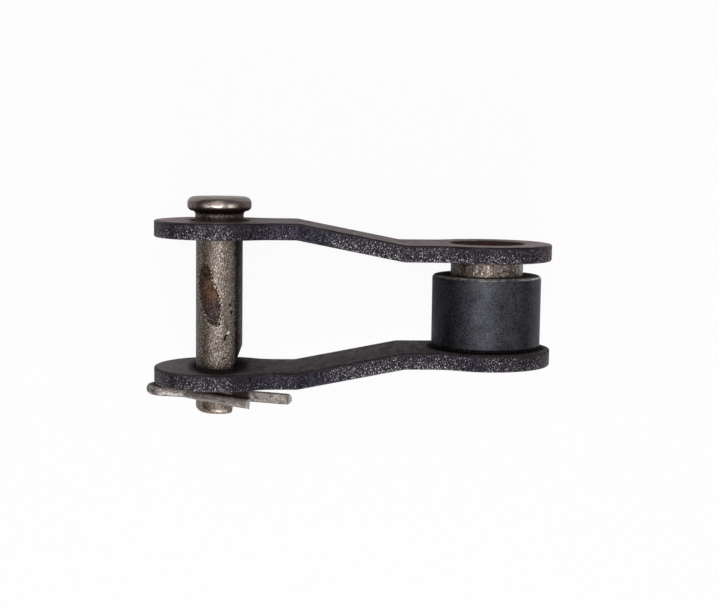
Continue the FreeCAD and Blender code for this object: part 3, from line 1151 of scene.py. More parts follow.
@dataclass
class SidePlate:
    """Cranked side plate, cut flat to a waisted outline and bent to its crank.

    Attributes:
        side: Side of the link that the plate stands on.
        pitch: Distance between the pin and bush axes.
    """

    side: Side
    pitch: float
    thickness: float = 2.55
    boss_radius: float = 10.0
    waist_half: float = 7.45
    shoulder_radius: float = 7.0
    wide_half: float = 10.0
    narrow_half: float = 6.85
    pin_to_bend: float = 11.9
    bush_to_bend: float = 13.3
    bend_radius: float = 2.0
    rim_radius: float = 0.3
    bush_hole: float = 5.6
    neck_hole: float = 3.76
    shank_hole: float = 3.64
    flat_to_axis: float = 2.21
    lip: float = 0.35
    rolled_depth: float = 0.15
    torn_over: float = 0.35
    burr_depth: float = 0.10
    step: float = 0.11
    face_grid: float = 0.7
    margin: float = 0.12
    grid_gap: float = 0.35
    tear_depth: float = 0.10
    tear_grain: float = 0.34
    seed: float = 0.0

    def shoulder(self) -> tuple[float, float, float]:
        """Reach of a shoulder's centre from its boss's centre, and that reach's rise and run."""
        reach = self.boss_radius + self.shoulder_radius
        rise = self.waist_half + self.shoulder_radius
        return reach, rise, math.sqrt(reach**2 - rise**2)

    def outline(self) -> tuple[Array, Array, Array]:
        """Outline of the flat blank.

        Returns:
            Points as X and Z, outward directions, and distance along the outline.
        """
        _, rise, run = self.shoulder()
        touch = math.atan2(rise, run)
        quarter = math.pi / 2
        pin, near_pin, near_bush = -self.pitch, -self.pitch + run, -run
        points, directions = [], []

        def arc(x: float, z: float, radius: float, start: float, end: float) -> None:
            """Adds an arc, hollow where it is drawn clockwise."""
            count = max(4, math.ceil(abs(end - start) * radius / self.step))
            angles = start + (end - start) * np.arange(count) / count
            radial = np.stack([np.cos(angles), np.sin(angles)], axis=1)
            points.append(np.array([x, z]) + radial * radius)
            directions.append(radial if end > start else -radial)

        def line(start_x: float, end_x: float, z: float) -> None:
            """Adds a straight run of the waist."""
            count = math.ceil(abs(end_x - start_x) / self.step)
            x = start_x + (end_x - start_x) * np.arange(count) / count
            points.append(np.stack([x, np.full(count, z)], axis=1))
            directions.append(np.tile([0.0, math.copysign(1.0, z)], (count, 1)))

        arc(0, 0, self.boss_radius, touch - math.pi, math.pi - touch)
        arc(near_bush, rise, self.shoulder_radius, -touch, -quarter)
        line(near_bush, near_pin, self.waist_half)
        arc(near_pin, rise, self.shoulder_radius, -quarter, touch - math.pi)
        arc(pin, 0, self.boss_radius, touch, 2 * math.pi - touch)
        arc(near_pin, -rise, self.shoulder_radius, math.pi - touch, quarter)
        line(near_pin, near_bush, -self.waist_half)
        arc(near_bush, -rise, self.shoulder_radius, quarter, touch)
        place = np.concatenate(points)
        gaps = np.linalg.norm(np.diff(place, axis=0), axis=1)
        return place, np.concatenate(directions), np.concatenate([[0.0], np.cumsum(gaps)])

    def half_width(self, x: Array) -> Array:
        """Measures the blank's half width.

        Args:
            x: X of each point, inside the blank's ends.

        Returns:
            The half width at each X.
        """
        reach, rise, run = self.shoulder()
        from_end = np.minimum(np.abs(x), np.abs(x + self.pitch))
        touch = run * self.boss_radius / reach
        beyond = (x > 0) | (x < -self.pitch)
        boss = np.sqrt(np.clip(self.boss_radius**2 - from_end**2, 0, None))
        hollow = rise - np.sqrt(np.clip(self.shoulder_radius**2 - (from_end - run) ** 2, 0, None))
        width = np.where(from_end < run, hollow, self.waist_half)
        return np.where((from_end < touch) | beyond, boss, width)

    def bent(self, x: Array, depth: Array) -> tuple[Array, Array]:
        """Places blank points on the crank.

        Args:
            x: X of each point on the middle surface.
            depth: Distance from the inner face.

        Returns:
            X and Y of each point, on the +Y side.
        """
        middle = self.bend_radius + self.thickness / 2
        first = -self.pitch + self.pin_to_bend
        second = -self.bush_to_bend
        drop = self.wide_half - self.narrow_half
        angle = math.atan(drop / (second - first))
        reach = middle * math.tan(angle / 2)
        travel = middle * math.sin(angle)
        into = np.clip(x - (first - reach), 0, travel)
        out = np.clip((second + reach) - x, 0, travel)
        slope_in = np.arcsin(into / middle)
        slope_out = np.arcsin(out / middle)
        slope = np.minimum(slope_in, slope_out)
        high = self.wide_half + self.thickness / 2
        low = self.narrow_half + self.thickness / 2
        start = first - reach + travel
        end = second + reach - travel
        sag = middle - np.sqrt(middle**2 - travel**2)
        y = high - (middle - np.sqrt(middle**2 - into**2))
        straight = high - sag - (x - start) * math.tan(angle)
        y = np.where(x > start, straight, y)
        y = np.where(x > end, low + (middle - np.sqrt(middle**2 - out**2)), y)
        lift = depth - self.thickness / 2
        return x + lift * np.sin(slope), y + lift * np.cos(slope)

    def wall_rings(self) -> list[tuple[float, float, float, float]]:
        """Lays out the rings of the outer wall, inner face first.

        Returns:
            Inset, depth, tornness and rim share of each ring.
        """
        rim, top = self.rim_radius, self.thickness
        turns = np.radians(np.linspace(0, 90, 6))
        lower = [(rim - rim * math.sin(a), rim - rim * math.cos(a)) for a in turns]
        count = math.ceil((top - 2 * rim) / self.step)
        upright = [(0.0, rim + (top - 2 * rim) * share) for share in np.arange(1, count) / count]
        upper = [(inset, top - depth) for inset, depth in reversed(lower)]
        rings = [(rim + self.margin, 0.0), *lower, *upright, *upper, (rim + self.margin, top)]
        return [
            (inset, depth, self.tornness(depth), float(0 < depth < top and inset < rim * 0.9))
            for inset, depth in rings
        ]

    def tornness(self, depth: float) -> float:
        """How torn the wall is at a depth: smooth by the punched-in rim, torn to the other face."""
        from_rolled = self.from_rolled(depth)
        rolled = np.clip((from_rolled - self.rolled_depth) / self.torn_over, 0, 1)
        burr = np.clip((self.thickness - from_rolled) / self.burr_depth, 0, 1)
        return float(rolled * burr)

    def from_rolled(self, depth: Array | float) -> Array | float:
        """Distance from the face that the punch entered, for distances from the inner face."""
        return self.thickness - depth if self.side is Side.UPPER else depth

    def hole_outline(self, centre_x: float, radius: float, flat: float | None) -> tuple[Array, Array]:
        """Outlines a hole.

        Args:
            centre_x: X of its axis.
            radius: Its radius.
            flat: Distance of its flat from the axis, or None for a round hole.

        Returns:
            Points as X and Z, and their directions away from the axis.
        """
        count = math.ceil(2 * math.pi * radius / (2 * self.step))
        if flat is None:
            angles = np.arange(count) / count * 2 * math.pi
            radial = np.stack([np.cos(angles), np.sin(angles)], axis=1)
            return np.array([centre_x, 0.0]) + radial * radius, radial
        corner = math.acos(flat / radius)
        angles = np.linspace(corner, 2 * math.pi - corner, count)
        radial = np.stack([np.cos(angles), np.sin(angles)], axis=1)
        rise = radius * math.sin(corner)
        across = np.linspace(-rise, rise, 2 * math.ceil(rise / self.step))[1:-1]
        straight = np.stack([np.full(len(across), flat), across], axis=1)
        points = np.concatenate([radial * radius, straight])
        outward = np.concatenate([radial, np.tile([1.0, 0.0], (len(across), 1))])
        return np.array([centre_x, 0.0]) + points, outward

    def holes(self) -> list[tuple[Array, Array, float, float, float, float]]:
        """Lays out the bush hole and the pin hole.

        Returns:
            Outline, directions, and lip width and depth at the inner and outer face of each hole.
        """
        bush = (*self.hole_outline(0.0, self.bush_hole, None), 0.0, 0.0, self.lip, self.lip)
        if self.side is Side.UPPER:
            pin = (*self.hole_outline(-self.pitch, self.neck_hole, None), 0.0, 0.0, 2 * self.lip, self.lip)
        else:
            outline = self.hole_outline(-self.pitch, self.shank_hole, self.flat_to_axis)
            pin = (*outline, self.lip, self.lip, 0.0, 0.0)
        return [bush, pin]

    def face(
        self, loops: Sequence[Array], holes: Sequence[Pair], inset: float
    ) -> tuple[Array, list[list[int]]]:
        """Flat face between its outer loop and its holes.

        Args:
            loops: The outer loop first, then each hole's, as X and Z points.
            holes: X of each hole's axis and its radius.
            inset: How far the outer loop is inside the blank's outline.

        Returns:
            Points as X and Z, and triangles.
        """
        grid_x = np.arange(-self.pitch - self.boss_radius, self.boss_radius, self.face_grid)
        bends = [-self.pitch + self.pin_to_bend, -self.bush_to_bend]
        near = np.concatenate([bend + np.linspace(-0.8, 0.8, 9) for bend in bends])
        grid_x = np.sort(np.concatenate([grid_x, near]))
        grid_z = np.arange(-self.boss_radius, self.boss_radius, self.face_grid)
        x, z = (grid.ravel() for grid in np.meshgrid(grid_x, grid_z))
        from_end = np.where(x > 0, np.hypot(x, z), np.hypot(x + self.pitch, z))
        at_end = (x > 0) | (x < -self.pitch)
        clear = inset + self.grid_gap
        keep = np.where(at_end, from_end < self.boss_radius - clear, np.abs(z) < self.half_width(x) - clear)
        for centre, radius in holes:
            keep &= np.hypot(x - centre, z) > radius + self.grid_gap
        points = np.concatenate([*loops, np.stack([x[keep], z[keep]], axis=1)])
        edges, first = [], 0
        for loop in loops:
            count = len(loop)
            edges.extend((first + i, first + (i + 1) % count) for i in range(count))
            first += count
        flat = delaunay_2d_cdt([Vector(p) for p in points], edges, [], 0, 1e-6)
        place = np.array([tuple(v) for v in flat[0]])
        middles = np.array([place[list(t)].mean(axis=0) for t in flat[2]])
        inside = within(middles, loops[0])
        for loop in loops[1:]:
            inside &= ~within(middles, loop)
        return place, [t for t, good in zip(flat[2], inside) if good]

    def add_hole(self, skin: Skin, hole: tuple, loops: dict[float, list], circles: dict[float, list]) -> None:
        """Adds a hole's wall and lips to the skin.

        Args:
            skin: The plate's surface so far.
            hole: Outline, directions, lip widths and lip depths, as holes gives them.
            loops: Edge loops of the face at each depth, to which the hole's edge is added.
            circles: X of the axis and radius of the holes at each depth, added to likewise.
        """
        points, direction, low_wide, low_deep, high_wide, high_deep = hole
        levels = [(low_wide + self.margin, 0.0), (low_wide, 0.0)]
        levels += [(0.0, low_deep)] if low_deep else []
        upright = np.linspace(low_deep, self.thickness - high_deep, 6)[1:]
        levels += [(0.0, level) for level in upright]
        levels += [(high_wide, self.thickness)] if high_deep else []
        levels.append((high_wide + self.margin, self.thickness))
        skin.faces += strip_faces(len(levels), len(points), skin.total)
        for grow, level in levels:
            skin.add(points + direction * grow, level)
        centre = 0.0 if points[:, 0].mean() > -self.pitch / 2 else -self.pitch
        radius = float(np.hypot(points[:, 0] - centre, points[:, 1]).max())
        for level, grow, ring in ((0.0, low_wide, -len(levels)), (self.thickness, high_wide, -1)):
            loops[level].append(skin.rows[ring][:, :2])
            circles[level].append((centre, radius + grow + self.margin))

    def build(self, tree: bpy.types.NodeTree, material: bpy.types.Material) -> bpy.types.Object:
        """Builds the plate.

        Args:
            tree: The torn edge tree.
            material: The plate's finish.

        Returns:
            The plate as one mesh object.
        """
        outline, outward, along = self.outline()
        rings = self.wall_rings()
        skin = Skin()
        for inset, depth, torn, rounding in rings:
            skin.add(outline - outward * inset, depth, torn, rounding, along)
        skin.faces += strip_faces(len(rings), len(outline))
        loops = {0.0: [skin.rows[0][:, :2]], self.thickness: [skin.rows[-1][:, :2]]}
        circles = {0.0: [], self.thickness: []}
        for hole in self.holes():
            self.add_hole(skin, hole, loops, circles)
        for level, level_loops in loops.items():
            points, triangles = self.face(level_loops, circles[level], self.rim_radius + self.margin)
            skin.faces += [tuple(skin.total + corner for corner in triangle) for triangle in triangles]
            skin.add(points, level)
        flat_x, z, height, wall, rim, run = np.concatenate(skin.rows).T
        x, y = self.bent(flat_x, height)
        marks = {
            "wall": wall,
            "rim": rim,
            "burr": self.from_rolled(height) / self.thickness,
            "along": run * MM,
            "through": height * MM,
        }
        points = np.stack([x, y * self.side.value, z], axis=1)
        plate = built_mesh(f"{self.side.name.lower()}_side_plate", points, skin.faces, marks)
        values = {
            "Depth": self.tear_depth * MM,
            "Grain": self.tear_grain * MM,
            "Seed": self.seed,
            "Material": material,
        }
        return shaped(plate, tree, values)


def smooth_step(value: Array, low: float, high: float) -> Array:
    """Eased passage from 0 at the low value to 1 at the high one."""
    share = np.clip((value - low) / (high - low), 0, 1)
    return share * share * (3 - 2 * share)


def within(points: Array, loop: Array) -> Array:
    """Finds the points inside a closed loop.

    Args:
        points: Pairs of coordinates.
        loop: The loop's corners in order.

    Returns:
        Whether each point is inside.
    """
    inside = np.zeros(len(points), bool)
    x, z = points[:, 0], points[:, 1]
    for (x0, z0), (x1, z1) in zip(loop, np.roll(loop, -1, axis=0)):
        crosses = (z0 > z) != (z1 > z)
        if not crosses.any():
            continue
        at = x0 + (z - z0) / (z1 - z0 + 1e-30) * (x1 - x0)
        inside ^= crosses & (x < at)
    return inside


# Bush and roller


@dataclass(frozen=True)
class Pits:
    """Pits of a worn skin: depth, spacing and width in millimetres, their share and their seed."""

    depth: float
    spacing: float
    width: float
    share: float
    seed: Triple

    def sunk(
        self, piece: bpy.types.Object, tree: bpy.types.NodeTree, material: bpy.types.Material
    ) -> bpy.types.Object:
        """Sinks the pits into a piece.

        Args:
            piece: The smooth piece.
            tree: The pitted surface tree.
            material: The piece's finish.

        Returns:
            The pitted piece.
        """
        values = {
            "Depth": self.depth * MM,
            "Spacing": self.spacing * MM,
            "Width": self.width * MM,
            "Share": self.share,
            "Seed": self.seed,
            "Material": material,
        }
        return shaped(piece, tree, values)


@dataclass
class BushAndRoller:
    """Pressed bush and the loose roller that turns on it."""

    bush_radius: float = 5.6
    bush_bore: float = 3.65
    bush_half: float = 8.4
    bush_chamfer: float = 0.35
    roller_radius: float = 8.435
    roller_bore: float = 5.69
    roller_low: float = -6.7
    roller_length: float = 11.2
    rim_radius: float = 0.55
    bore_lip: float = 0.3
    bush_around: int = 260
    roller_around: int = 320
    step: float = 0.16
    fine: float = 0.07
    pits: Pits = Pits(0.05, 0.75, 0.24, 0.5, (0.011, 0.002, 0.005))

    def bush(self, tree: bpy.types.NodeTree, material: bpy.types.Material) -> bpy.types.Object:
        """Builds the bush, with the pits of its worn skin.

        Args:
            tree: The pitted surface tree.
            material: The bush's finish.

        Returns:
            The bush as one mesh object.
        """
        half, cut = self.bush_half, self.bush_chamfer
        wall = self.bush_radius - self.bush_bore
        start = (self.bush_bore + wall / 2, half)
        corners = [
            start,
            (self.bush_radius - cut, half),
            (self.bush_radius, half - cut),
            (self.bush_radius, cut - half),
            (self.bush_radius - cut, -half),
            (self.bush_bore + cut, -half),
            (self.bush_bore, cut - half),
            (self.bush_bore, half - cut),
            (self.bush_bore + cut, half),
            start,
        ]
        section = rounded(corners, [0] * (len(corners) - 2), self.step, self.fine)
        skin_end = wall / 2 + 2 * half

        def marks(angle: Array, height: Array, length: Array) -> dict[str, Array]:
            """Attribute of painted shade: 1 on the bush's ends and in its bore, and beside the roller."""
            # Painted shade on the ends, in the bore and where the bush goes into the roller.
            hidden = np.maximum(smooth_step(np.abs(height), half - 1.2, half - 0.8), length > skin_end)
            return {"grime": np.maximum(hidden * 0.95, 0.85 * smooth_step(-height, -4.75, -4.45))}

        bush = Lathe(0.0, self.bush_around, closed=True).build("pressed_bush", section, marks)
        return self.pits.sunk(bush, tree, material)

    def roller(self, material: bpy.types.Material) -> bpy.types.Object:
        """Builds the roller, with its rims marked for wear and its ends and bore for painted shade.

        Args:
            material: The roller's finish.

        Returns:
            The roller as one mesh object.
        """
        low, high = self.roller_low, self.roller_low + self.roller_length
        start = ((self.roller_bore + self.roller_radius) / 2, high)
        corners = [
            start,
            (self.roller_radius, high),
            (self.roller_radius, low),
            (self.roller_bore, low),
            (self.roller_bore, high),
            start,
        ]
        radii = (self.rim_radius, self.rim_radius, self.bore_lip, self.bore_lip)
        section = rounded(corners, radii, self.step, self.fine)

        def marks(angle: Array, height: Array, length: Array) -> dict[str, Array]:
            """Attributes rim, 1 on the rounded outer edges, and one of painted shade, 1 on the ends and bore.
            """
            depth = np.minimum(high - height, height - low)
            outer = length < (self.roller_radius - start[0]) + self.roller_length + self.rim_radius
            near = np.exp(-(((depth - 0.30 * self.rim_radius) / (0.21 * self.rim_radius)) ** 2))
            # The lower rim gets a fifth of the bare wear, so it stays dark as painted shade.
            share = np.where(height > 0, 1.0, 0.2)
            inside = np.where(outer, 1 - smooth_step(depth, 0.02, 0.14), 1.0)
            return {"rim": near * outer * share, "end_face": inside}

        roller = Lathe(0.0, self.roller_around, closed=True).build("loose_roller", section, marks)
        roller.data.materials.append(material)
        return roller


# Pin


@dataclass(frozen=True)
class PinMark:
    """Oval mark on the pin: its angle from +Z towards +X, height, half sizes and slant."""

    angle: float
    height: float
    half_long: float
    half_wide: float
    slant: float = 0.0

    def reach(self, flat: Array, radius: float) -> Array:
        """Distance of unrolled points from the mark's middle, 1 at its edge.

        Args:
            flat: Distance round the pin and height of each point.
            radius: The pin's radius.

        Returns:
            The distances, as shares of the mark's half sizes.
        """
        slant = math.radians(self.slant)
        across = flat[:, 0] - math.radians(self.angle) * radius
        up = flat[:, 1] - self.height
        wide = (across * math.cos(slant) + up * math.sin(slant)) / self.half_wide
        long = (up * math.cos(slant) - across * math.sin(slant)) / self.half_long
        return np.hypot(wide, long)


@dataclass(frozen=True)
class PinPatch:
    """Patch on the pin: the corners of its edge as angle from +Z towards +X, and height."""

    corners: tuple[tuple[float, float], ...]

    def inside(self, flat: Array, radius: float) -> Array:
        """Distance of unrolled points inside the patch's edge, negative outside it.

        Args:
            flat: Distance round the pin and height of each point.
            radius: The pin's radius.

        Returns:
            The distances in millimetres, none farther out than 3.
        """
        loop = np.array([(math.radians(angle) * radius, height) for angle, height in self.corners])
        away = np.full(len(flat), 3.0)
        for start, end in zip(loop, np.roll(loop, -1, axis=0)):
            along = end - start
            share = np.clip((flat - start) @ along / (along @ along), 0, 1)
            away = np.minimum(away, np.linalg.norm(flat - start - share[:, None] * along, axis=1))
        return np.where(within(flat, loop), away, -away)


@dataclass
class HeadedPin:
    """Headed pin with a neck, a shank, a milled flat and a cross hole for the cotter."""

    axis_x: float
    radius: float = 3.58
    neck_radius: float = 3.70
    head_radius: float = 4.9
    head_high: float = 16.15
    head_low: float = 14.0
    head_top_radius: float = 1.0
    head_rim_radius: float = 0.75
    under_head: float = 0.6
    neck_low: float = 11.05
    taper: float = 0.4
    end_y: float = -17.1398
    end_radius: float = 1.15
    flat_to_axis: float = 2.15
    flat_full_y: float = -10.225
    runout_slope: float = 0.40
    flat_end_radius: float = 0.8
    flat_end_rise: float = 0.6928
    hole_radius: float = 1.2
    hole_y: float = -14.3398
    hole_sides: int = 48
    wide_half: float = 10.0
    around: int = 260
    step: float = 0.15
    fine: float = 0.08
    pits: Pits = Pits(0.035, 1.0, 0.20, 0.4, (0.004, 0.013, 0.001))
    rust: PinPatch = PinPatch(
        (
            (-30, 6.3), (-19, 5.9), (-15, 4.8), (-12, 3.7), (-5, 2.7), (2, 1.7), (8, 0.5), (9, -0.7),
            (6, -2.1), (6, -3.3), (-4, -3.7), (-19, -3.2), (-33, -2.1), (-45, -0.9), (-53, 0.6),
            (-59, 2.2), (-60, 3.9), (-56, 5.4), (-43, 6.2),
        )
    )
    olives: tuple[PinMark, ...] = (
        PinMark(-27.0, 3.05, 0.45, 0.95, 8.0),
        PinMark(31.0, 3.7, 0.45, 0.75),
        PinMark(2.0, 3.9, 0.25, 0.9),
    )
    # A chipped spot, painted with a glint.
    chip: PinMark = PinMark(25.0, -4.45, 0.28, 0.16, -35.0)
    marks_seen: tuple[PinMark, ...] = (
        PinMark(29.5, -0.25, 0.24, 0.25),
        PinMark(33.0, -1.35, 0.36, 0.22, 20),
        PinMark(22.0, -3.6, 0.50, 0.09, 14),
        PinMark(21.0, -4.80, 0.34, 0.14, -35),
        PinMark(16.0, -5.25, 0.50, 0.21, -12),
        PinMark(15.4, -8.35, 0.13, 0.45, 12),
        PinMark(-14, -5.1, 0.15, 0.12),
        PinMark(-8, 7.9, 0.2, 0.09),
        # Painted dark reflection round the head's side.
        PinMark(-6, 15.05, 0.10, 1.3),
    )

    def section(self) -> Array:
        """Draws the section from the head's top centre to the end's centre.

        Returns:
            Radius and height pairs.
        """
        corners = [
            (0.0, self.head_high),
            (self.head_radius, self.head_high),
            (self.head_radius, self.head_low),
            (self.neck_radius, self.head_low),
            (self.neck_radius, self.neck_low),
            (self.radius, self.neck_low - self.taper),
            (self.radius, self.end_y),
            (0.0, self.end_y),
        ]
        radii = (self.head_top_radius, self.head_rim_radius, self.under_head, 0, 0, self.end_radius)
        return rounded(corners, radii, self.step, self.fine)

    def flattened(self, radius: Array, angle: Array, height: Array) -> Array:
        """Radii cut back to the milled flat and its run-out."""
        flat = self.flat_to_axis + np.clip(height - self.flat_full_y, 0, None) * self.runout_slope
        drop = np.clip(self.end_y + self.flat_end_rise - height, 0, self.flat_end_rise)
        flat = flat - self.flat_end_radius + np.sqrt(self.flat_end_radius**2 - drop**2)
        toward = np.sin(angle)
        cut = np.where(toward > 0.05, flat / np.maximum(toward, 0.05), np.inf)
        return np.where(height < self.neck_low - self.taper, np.minimum(radius, cut), radius)

    def wear(self, angle: Array, height: Array, length: Array) -> dict[str, Array]:
        """Marks the pin's rust, stains, polish, painted shade and dirt, and its painted highlights.

        Args:
            angle: Angle of each point from +Z towards +X.
            height: Y of each point.
            length: Distance of each point along the section; not used.

        Returns:
            Attribute rust in millimetres inside the patch's edge, and the other marks as shares.
        """
        turn = np.where(angle > math.pi, angle - 2 * math.pi, angle)
        degrees = np.degrees(turn)
        flat = np.stack([turn * self.radius, height], axis=1)
        shares = {
            label: np.max([np.exp(-mark.reach(flat, self.radius) ** power) for mark in marks], axis=0)
            for label, marks, power in (
                ("olive", self.olives, 2),
                ("mark", self.marks_seen, 3),
                ("chip", (self.chip,), 3),
            )
        }
        # Painted highlight on the front of the head's lower rim, and a fainter one round its top rim.
        gloss = smooth_step(height, 14.3, 14.45) * smooth_step(-height, -15.25, -14.95)
        gloss *= smooth_step(-np.abs(degrees - 2), -36, -16)
        return {
            "rust": self.rust.inside(flat, self.radius),
            "grime": self.grime(angle, degrees, height),
            "polish": smooth_step(height, 13.7, 14.0),
            "gloss": np.maximum(gloss, 0.22 * smooth_step(height, 15.35, 15.75)),
            **shares,
        }

    def grime(self, angle: Array, degrees: Array, height: Array) -> Array:
        """Marks painted shade: in the neck over its brown dirt, by the plates and on the flat, and painted
        dark reflections down both sides.

        Args:
            angle: Angle of each point from +Z towards +X.
            degrees: The same angle in degrees, between -180 and 180.
            height: Y of each point.

        Returns:
            Share of painted shade at each point.
        """
        # Painted shade in the neck, over its brown dirt, darkest under the head and at the plate; painted
        # shade by both plates and on the milled flat.
        neck_ends = np.maximum(smooth_step(-height, -13.25, -12.95), smooth_step(height, 13.9, 14.1))
        in_neck = smooth_step(height, 12.2, 12.6) * smooth_step(-height, -14.5, -14.1)
        in_neck *= 0.46 + 0.51 * neck_ends
        by_lower_plate = smooth_step(-height, 8.9, 10.4) * smooth_step(height, -13.6, -12.4)
        on_flat = smooth_step(-height, 9.0, 9.6) * smooth_step(np.sin(angle) * self.radius, 1.9, 2.1)
        on_flat *= smooth_step(height, -15.4, -14.6)
        by_upper_plate = smooth_step(height, 9.4, 10.2) * smooth_step(-height, -12.9, -12.4)
        # Painted dark reflections down both sides of the shank, between the plates.
        between = smooth_step(self.wide_half - np.abs(height), -0.2, 0.6)
        left = 0.36 * smooth_step(-degrees, 40, 58)
        right = smooth_step(degrees, 43, 47) * (0.68 - 0.24 * smooth_step(degrees, 54, 60))
        sides = between * np.maximum(left, right)
        return np.max([in_neck, 0.8 * by_lower_plate, 0.9 * on_flat, 0.6 * by_upper_plate, sides], axis=0)

    def build(self, tree: bpy.types.NodeTree, material: bpy.types.Material) -> bpy.types.Object:
        """Builds the pin.

        Args:
            tree: The pitted surface tree.
            material: The pin's finish.

        Returns:
            The pin as one mesh object.
        """
        lathe = Lathe(self.axis_x, self.around, closed=False)
        pin = lathe.build("headed_pin", self.section(), self.wear, self.flattened)
        return self.drilled(self.pits.sunk(pin, tree, material))

    def drilled(self, pin: bpy.types.Object) -> bpy.types.Object:
        """Cuts the cross hole through the pin.

        Args:
            pin: The whole pin.

        Returns:
            The same pin with its hole.
        """
        work = bmesh.new()
        bmesh.ops.create_cone(
            work,
            cap_ends=True,
            segments=self.hole_sides,
            radius1=self.hole_radius * MM,
            radius2=self.hole_radius * MM,
            depth=4 * self.radius * MM,
            matrix=(
                Matrix.Translation((self.axis_x * MM, self.hole_y * MM, 0))
                @ Matrix.Rotation(math.pi / 2, 4, "Y")
            ),
        )
        mesh = bpy.data.meshes.new("cross_drill")
        work.to_mesh(mesh)
        work.free()
        drill = placed("cross_drill", mesh)
        cut = pin.modifiers.new("cross_hole", "BOOLEAN")
        cut.operation = "DIFFERENCE"
        cut.solver = "EXACT"
        cut.object = drill
        result = evaluated_mesh(pin)
        pin.modifiers.remove(cut)
        pin.data = result
        bpy.data.objects.remove(drill)
        return pin


# Cotter


@dataclass
class SplitCotter:
    """Split cotter of half-round wire, its long leg through the pin and its short leg outside."""

    axis_x: float
    width: float = 1.73
    axis_y: float = -14.3974
    tilt: float = 4.6
    below_axis: float = 0.04
    eye_radius: float = 1.3
    eye_shoulder: float = 1.3
    eye_to_axis: float = 9.05
    long_reach: float = 11.35
    short_reach: float = 4.9
    fall: float = 10.0
    bend_radius: float = 2.2
    climb: float = 37.0
    finish: float = 25.0
    pin_radius: float = 3.58
    pin_gap: float = 0.12
    step: float = 0.12
    tip_length: float = 0.8

    def arc(self, centre: Array, radius: float, start: float, end: float) -> Array:
        """Points of an arc without its first one.

        Args:
            centre: The arc's centre.
            radius: The arc's radius.
            start: Angle at its start, in radians.
            end: Angle at its end.

        Returns:
            The points in order.
        """
        count = max(4, math.ceil(abs(end - start) * max(radius, 0.5) / self.step))
        angles = start + (end - start) * np.arange(1, count + 1) / count
        return centre + radius * np.stack([np.cos(angles), np.sin(angles)], axis=1)

    def line(self, start: Array, end: Array) -> Array:
        """Points of a straight run without its first one."""
        count = max(1, math.ceil(np.linalg.norm(end - start) / self.step))
        return start + (end - start) * (np.arange(1, count + 1) / count)[:, None]

    def path(self) -> Array:
        """Line of the wire's flat face, from the long leg's tip round the eye to the short end.

        Returns:
            Points along the legs and out from the pin's axis.
        """
        quarter = math.pi / 2
        out = self.below_axis + self.eye_shoulder
        run = math.sqrt((self.eye_radius + self.eye_shoulder) ** 2 - out**2)
        lean = math.atan2(run, out)
        eye = np.array([-self.eye_to_axis, 0.0])
        shoulder = eye + np.array([run, -out])
        fall, climb, finish = (math.radians(turn) for turn in (self.fall, self.climb, self.finish))
        hug = self.pin_radius + self.pin_gap
        tip = np.array([self.long_reach, -self.below_axis])
        parts = [tip[None], self.line(tip, shoulder + np.array([0.0, self.eye_shoulder]))]
        parts.append(self.arc(shoulder, self.eye_shoulder, quarter, quarter + lean))
        parts.append(self.arc(eye, self.eye_radius, lean - quarter, -fall - 3 * quarter))
        eye_end = parts[-1][-1]
        touch = hug * np.array([-math.sin(climb), math.cos(climb)])
        meet = touch[1] - eye_end[1] + (eye_end[0] - touch[0]) * math.tan(climb)
        corner_x = eye_end[0] - meet / (math.tan(fall) + math.tan(climb))
        corner = np.array([corner_x, eye_end[1] - (corner_x - eye_end[0]) * math.tan(fall)])
        back = self.bend_radius * math.tan((fall + climb) / 2)
        bend_start = corner + back * np.array([-math.cos(fall), math.sin(fall)])
        bend_middle = bend_start + self.bend_radius * np.array([math.sin(fall), math.cos(fall)])
        parts.append(self.line(eye_end, bend_start))
        parts.append(self.arc(bend_middle, self.bend_radius, -quarter - fall, climb - quarter))
        parts.append(self.line(parts[-1][-1], touch))
        parts.append(self.arc(np.zeros(2), hug, quarter + climb, quarter + finish))
        leaves = parts[-1][-1]
        length = (self.short_reach - leaves[0]) / math.cos(finish)
        parts.append(self.line(leaves, leaves + length * np.array([math.cos(finish), math.sin(finish)])))
        return np.concatenate(parts)

    def length(self) -> float:
        """Length of the wire along its flat face."""
        return float(np.linalg.norm(np.diff(self.path(), axis=0), axis=1).sum())

    def build(self, tree: bpy.types.NodeTree, material: bpy.types.Material) -> bpy.types.Object:
        """Builds the cotter.

        Args:
            tree: The half-round wire tree.
            material: The wire's finish.

        Returns:
            The cotter as one mesh object.
        """
        path = self.path()
        curve = bpy.data.curves.new("split_cotter", "CURVE")
        curve.dimensions = "3D"
        spline = curve.splines.new("POLY")
        spline.points.add(len(path) - 1)
        for point, (along, out) in zip(spline.points, path):
            from_tip = self.long_reach - along if out < 0 else self.tip_length
            share = np.clip(from_tip / self.tip_length, 0.0, 1.0)
            point.co = (along * MM, out * MM, 0.0, 1.0)
            point.radius = max(0.25, math.sqrt(1 - (1 - share) ** 2))
        wire = placed("split_cotter", curve)
        values = {
            "Width": self.width * MM,
            "Turn": (math.pi / 2, 0.0, -math.radians(self.tilt)),
            "Place": (self.axis_x * MM, self.axis_y * MM, 0.0),
            "Material": material,
        }
        return shaped(wire, tree, values)


# Studio


@dataclass(frozen=True)
class Lamp:
    """Area lamp aimed at the link: place in metres, size in metres and power in watts."""

    name: str
    place: Triple
    size: float
    power: float


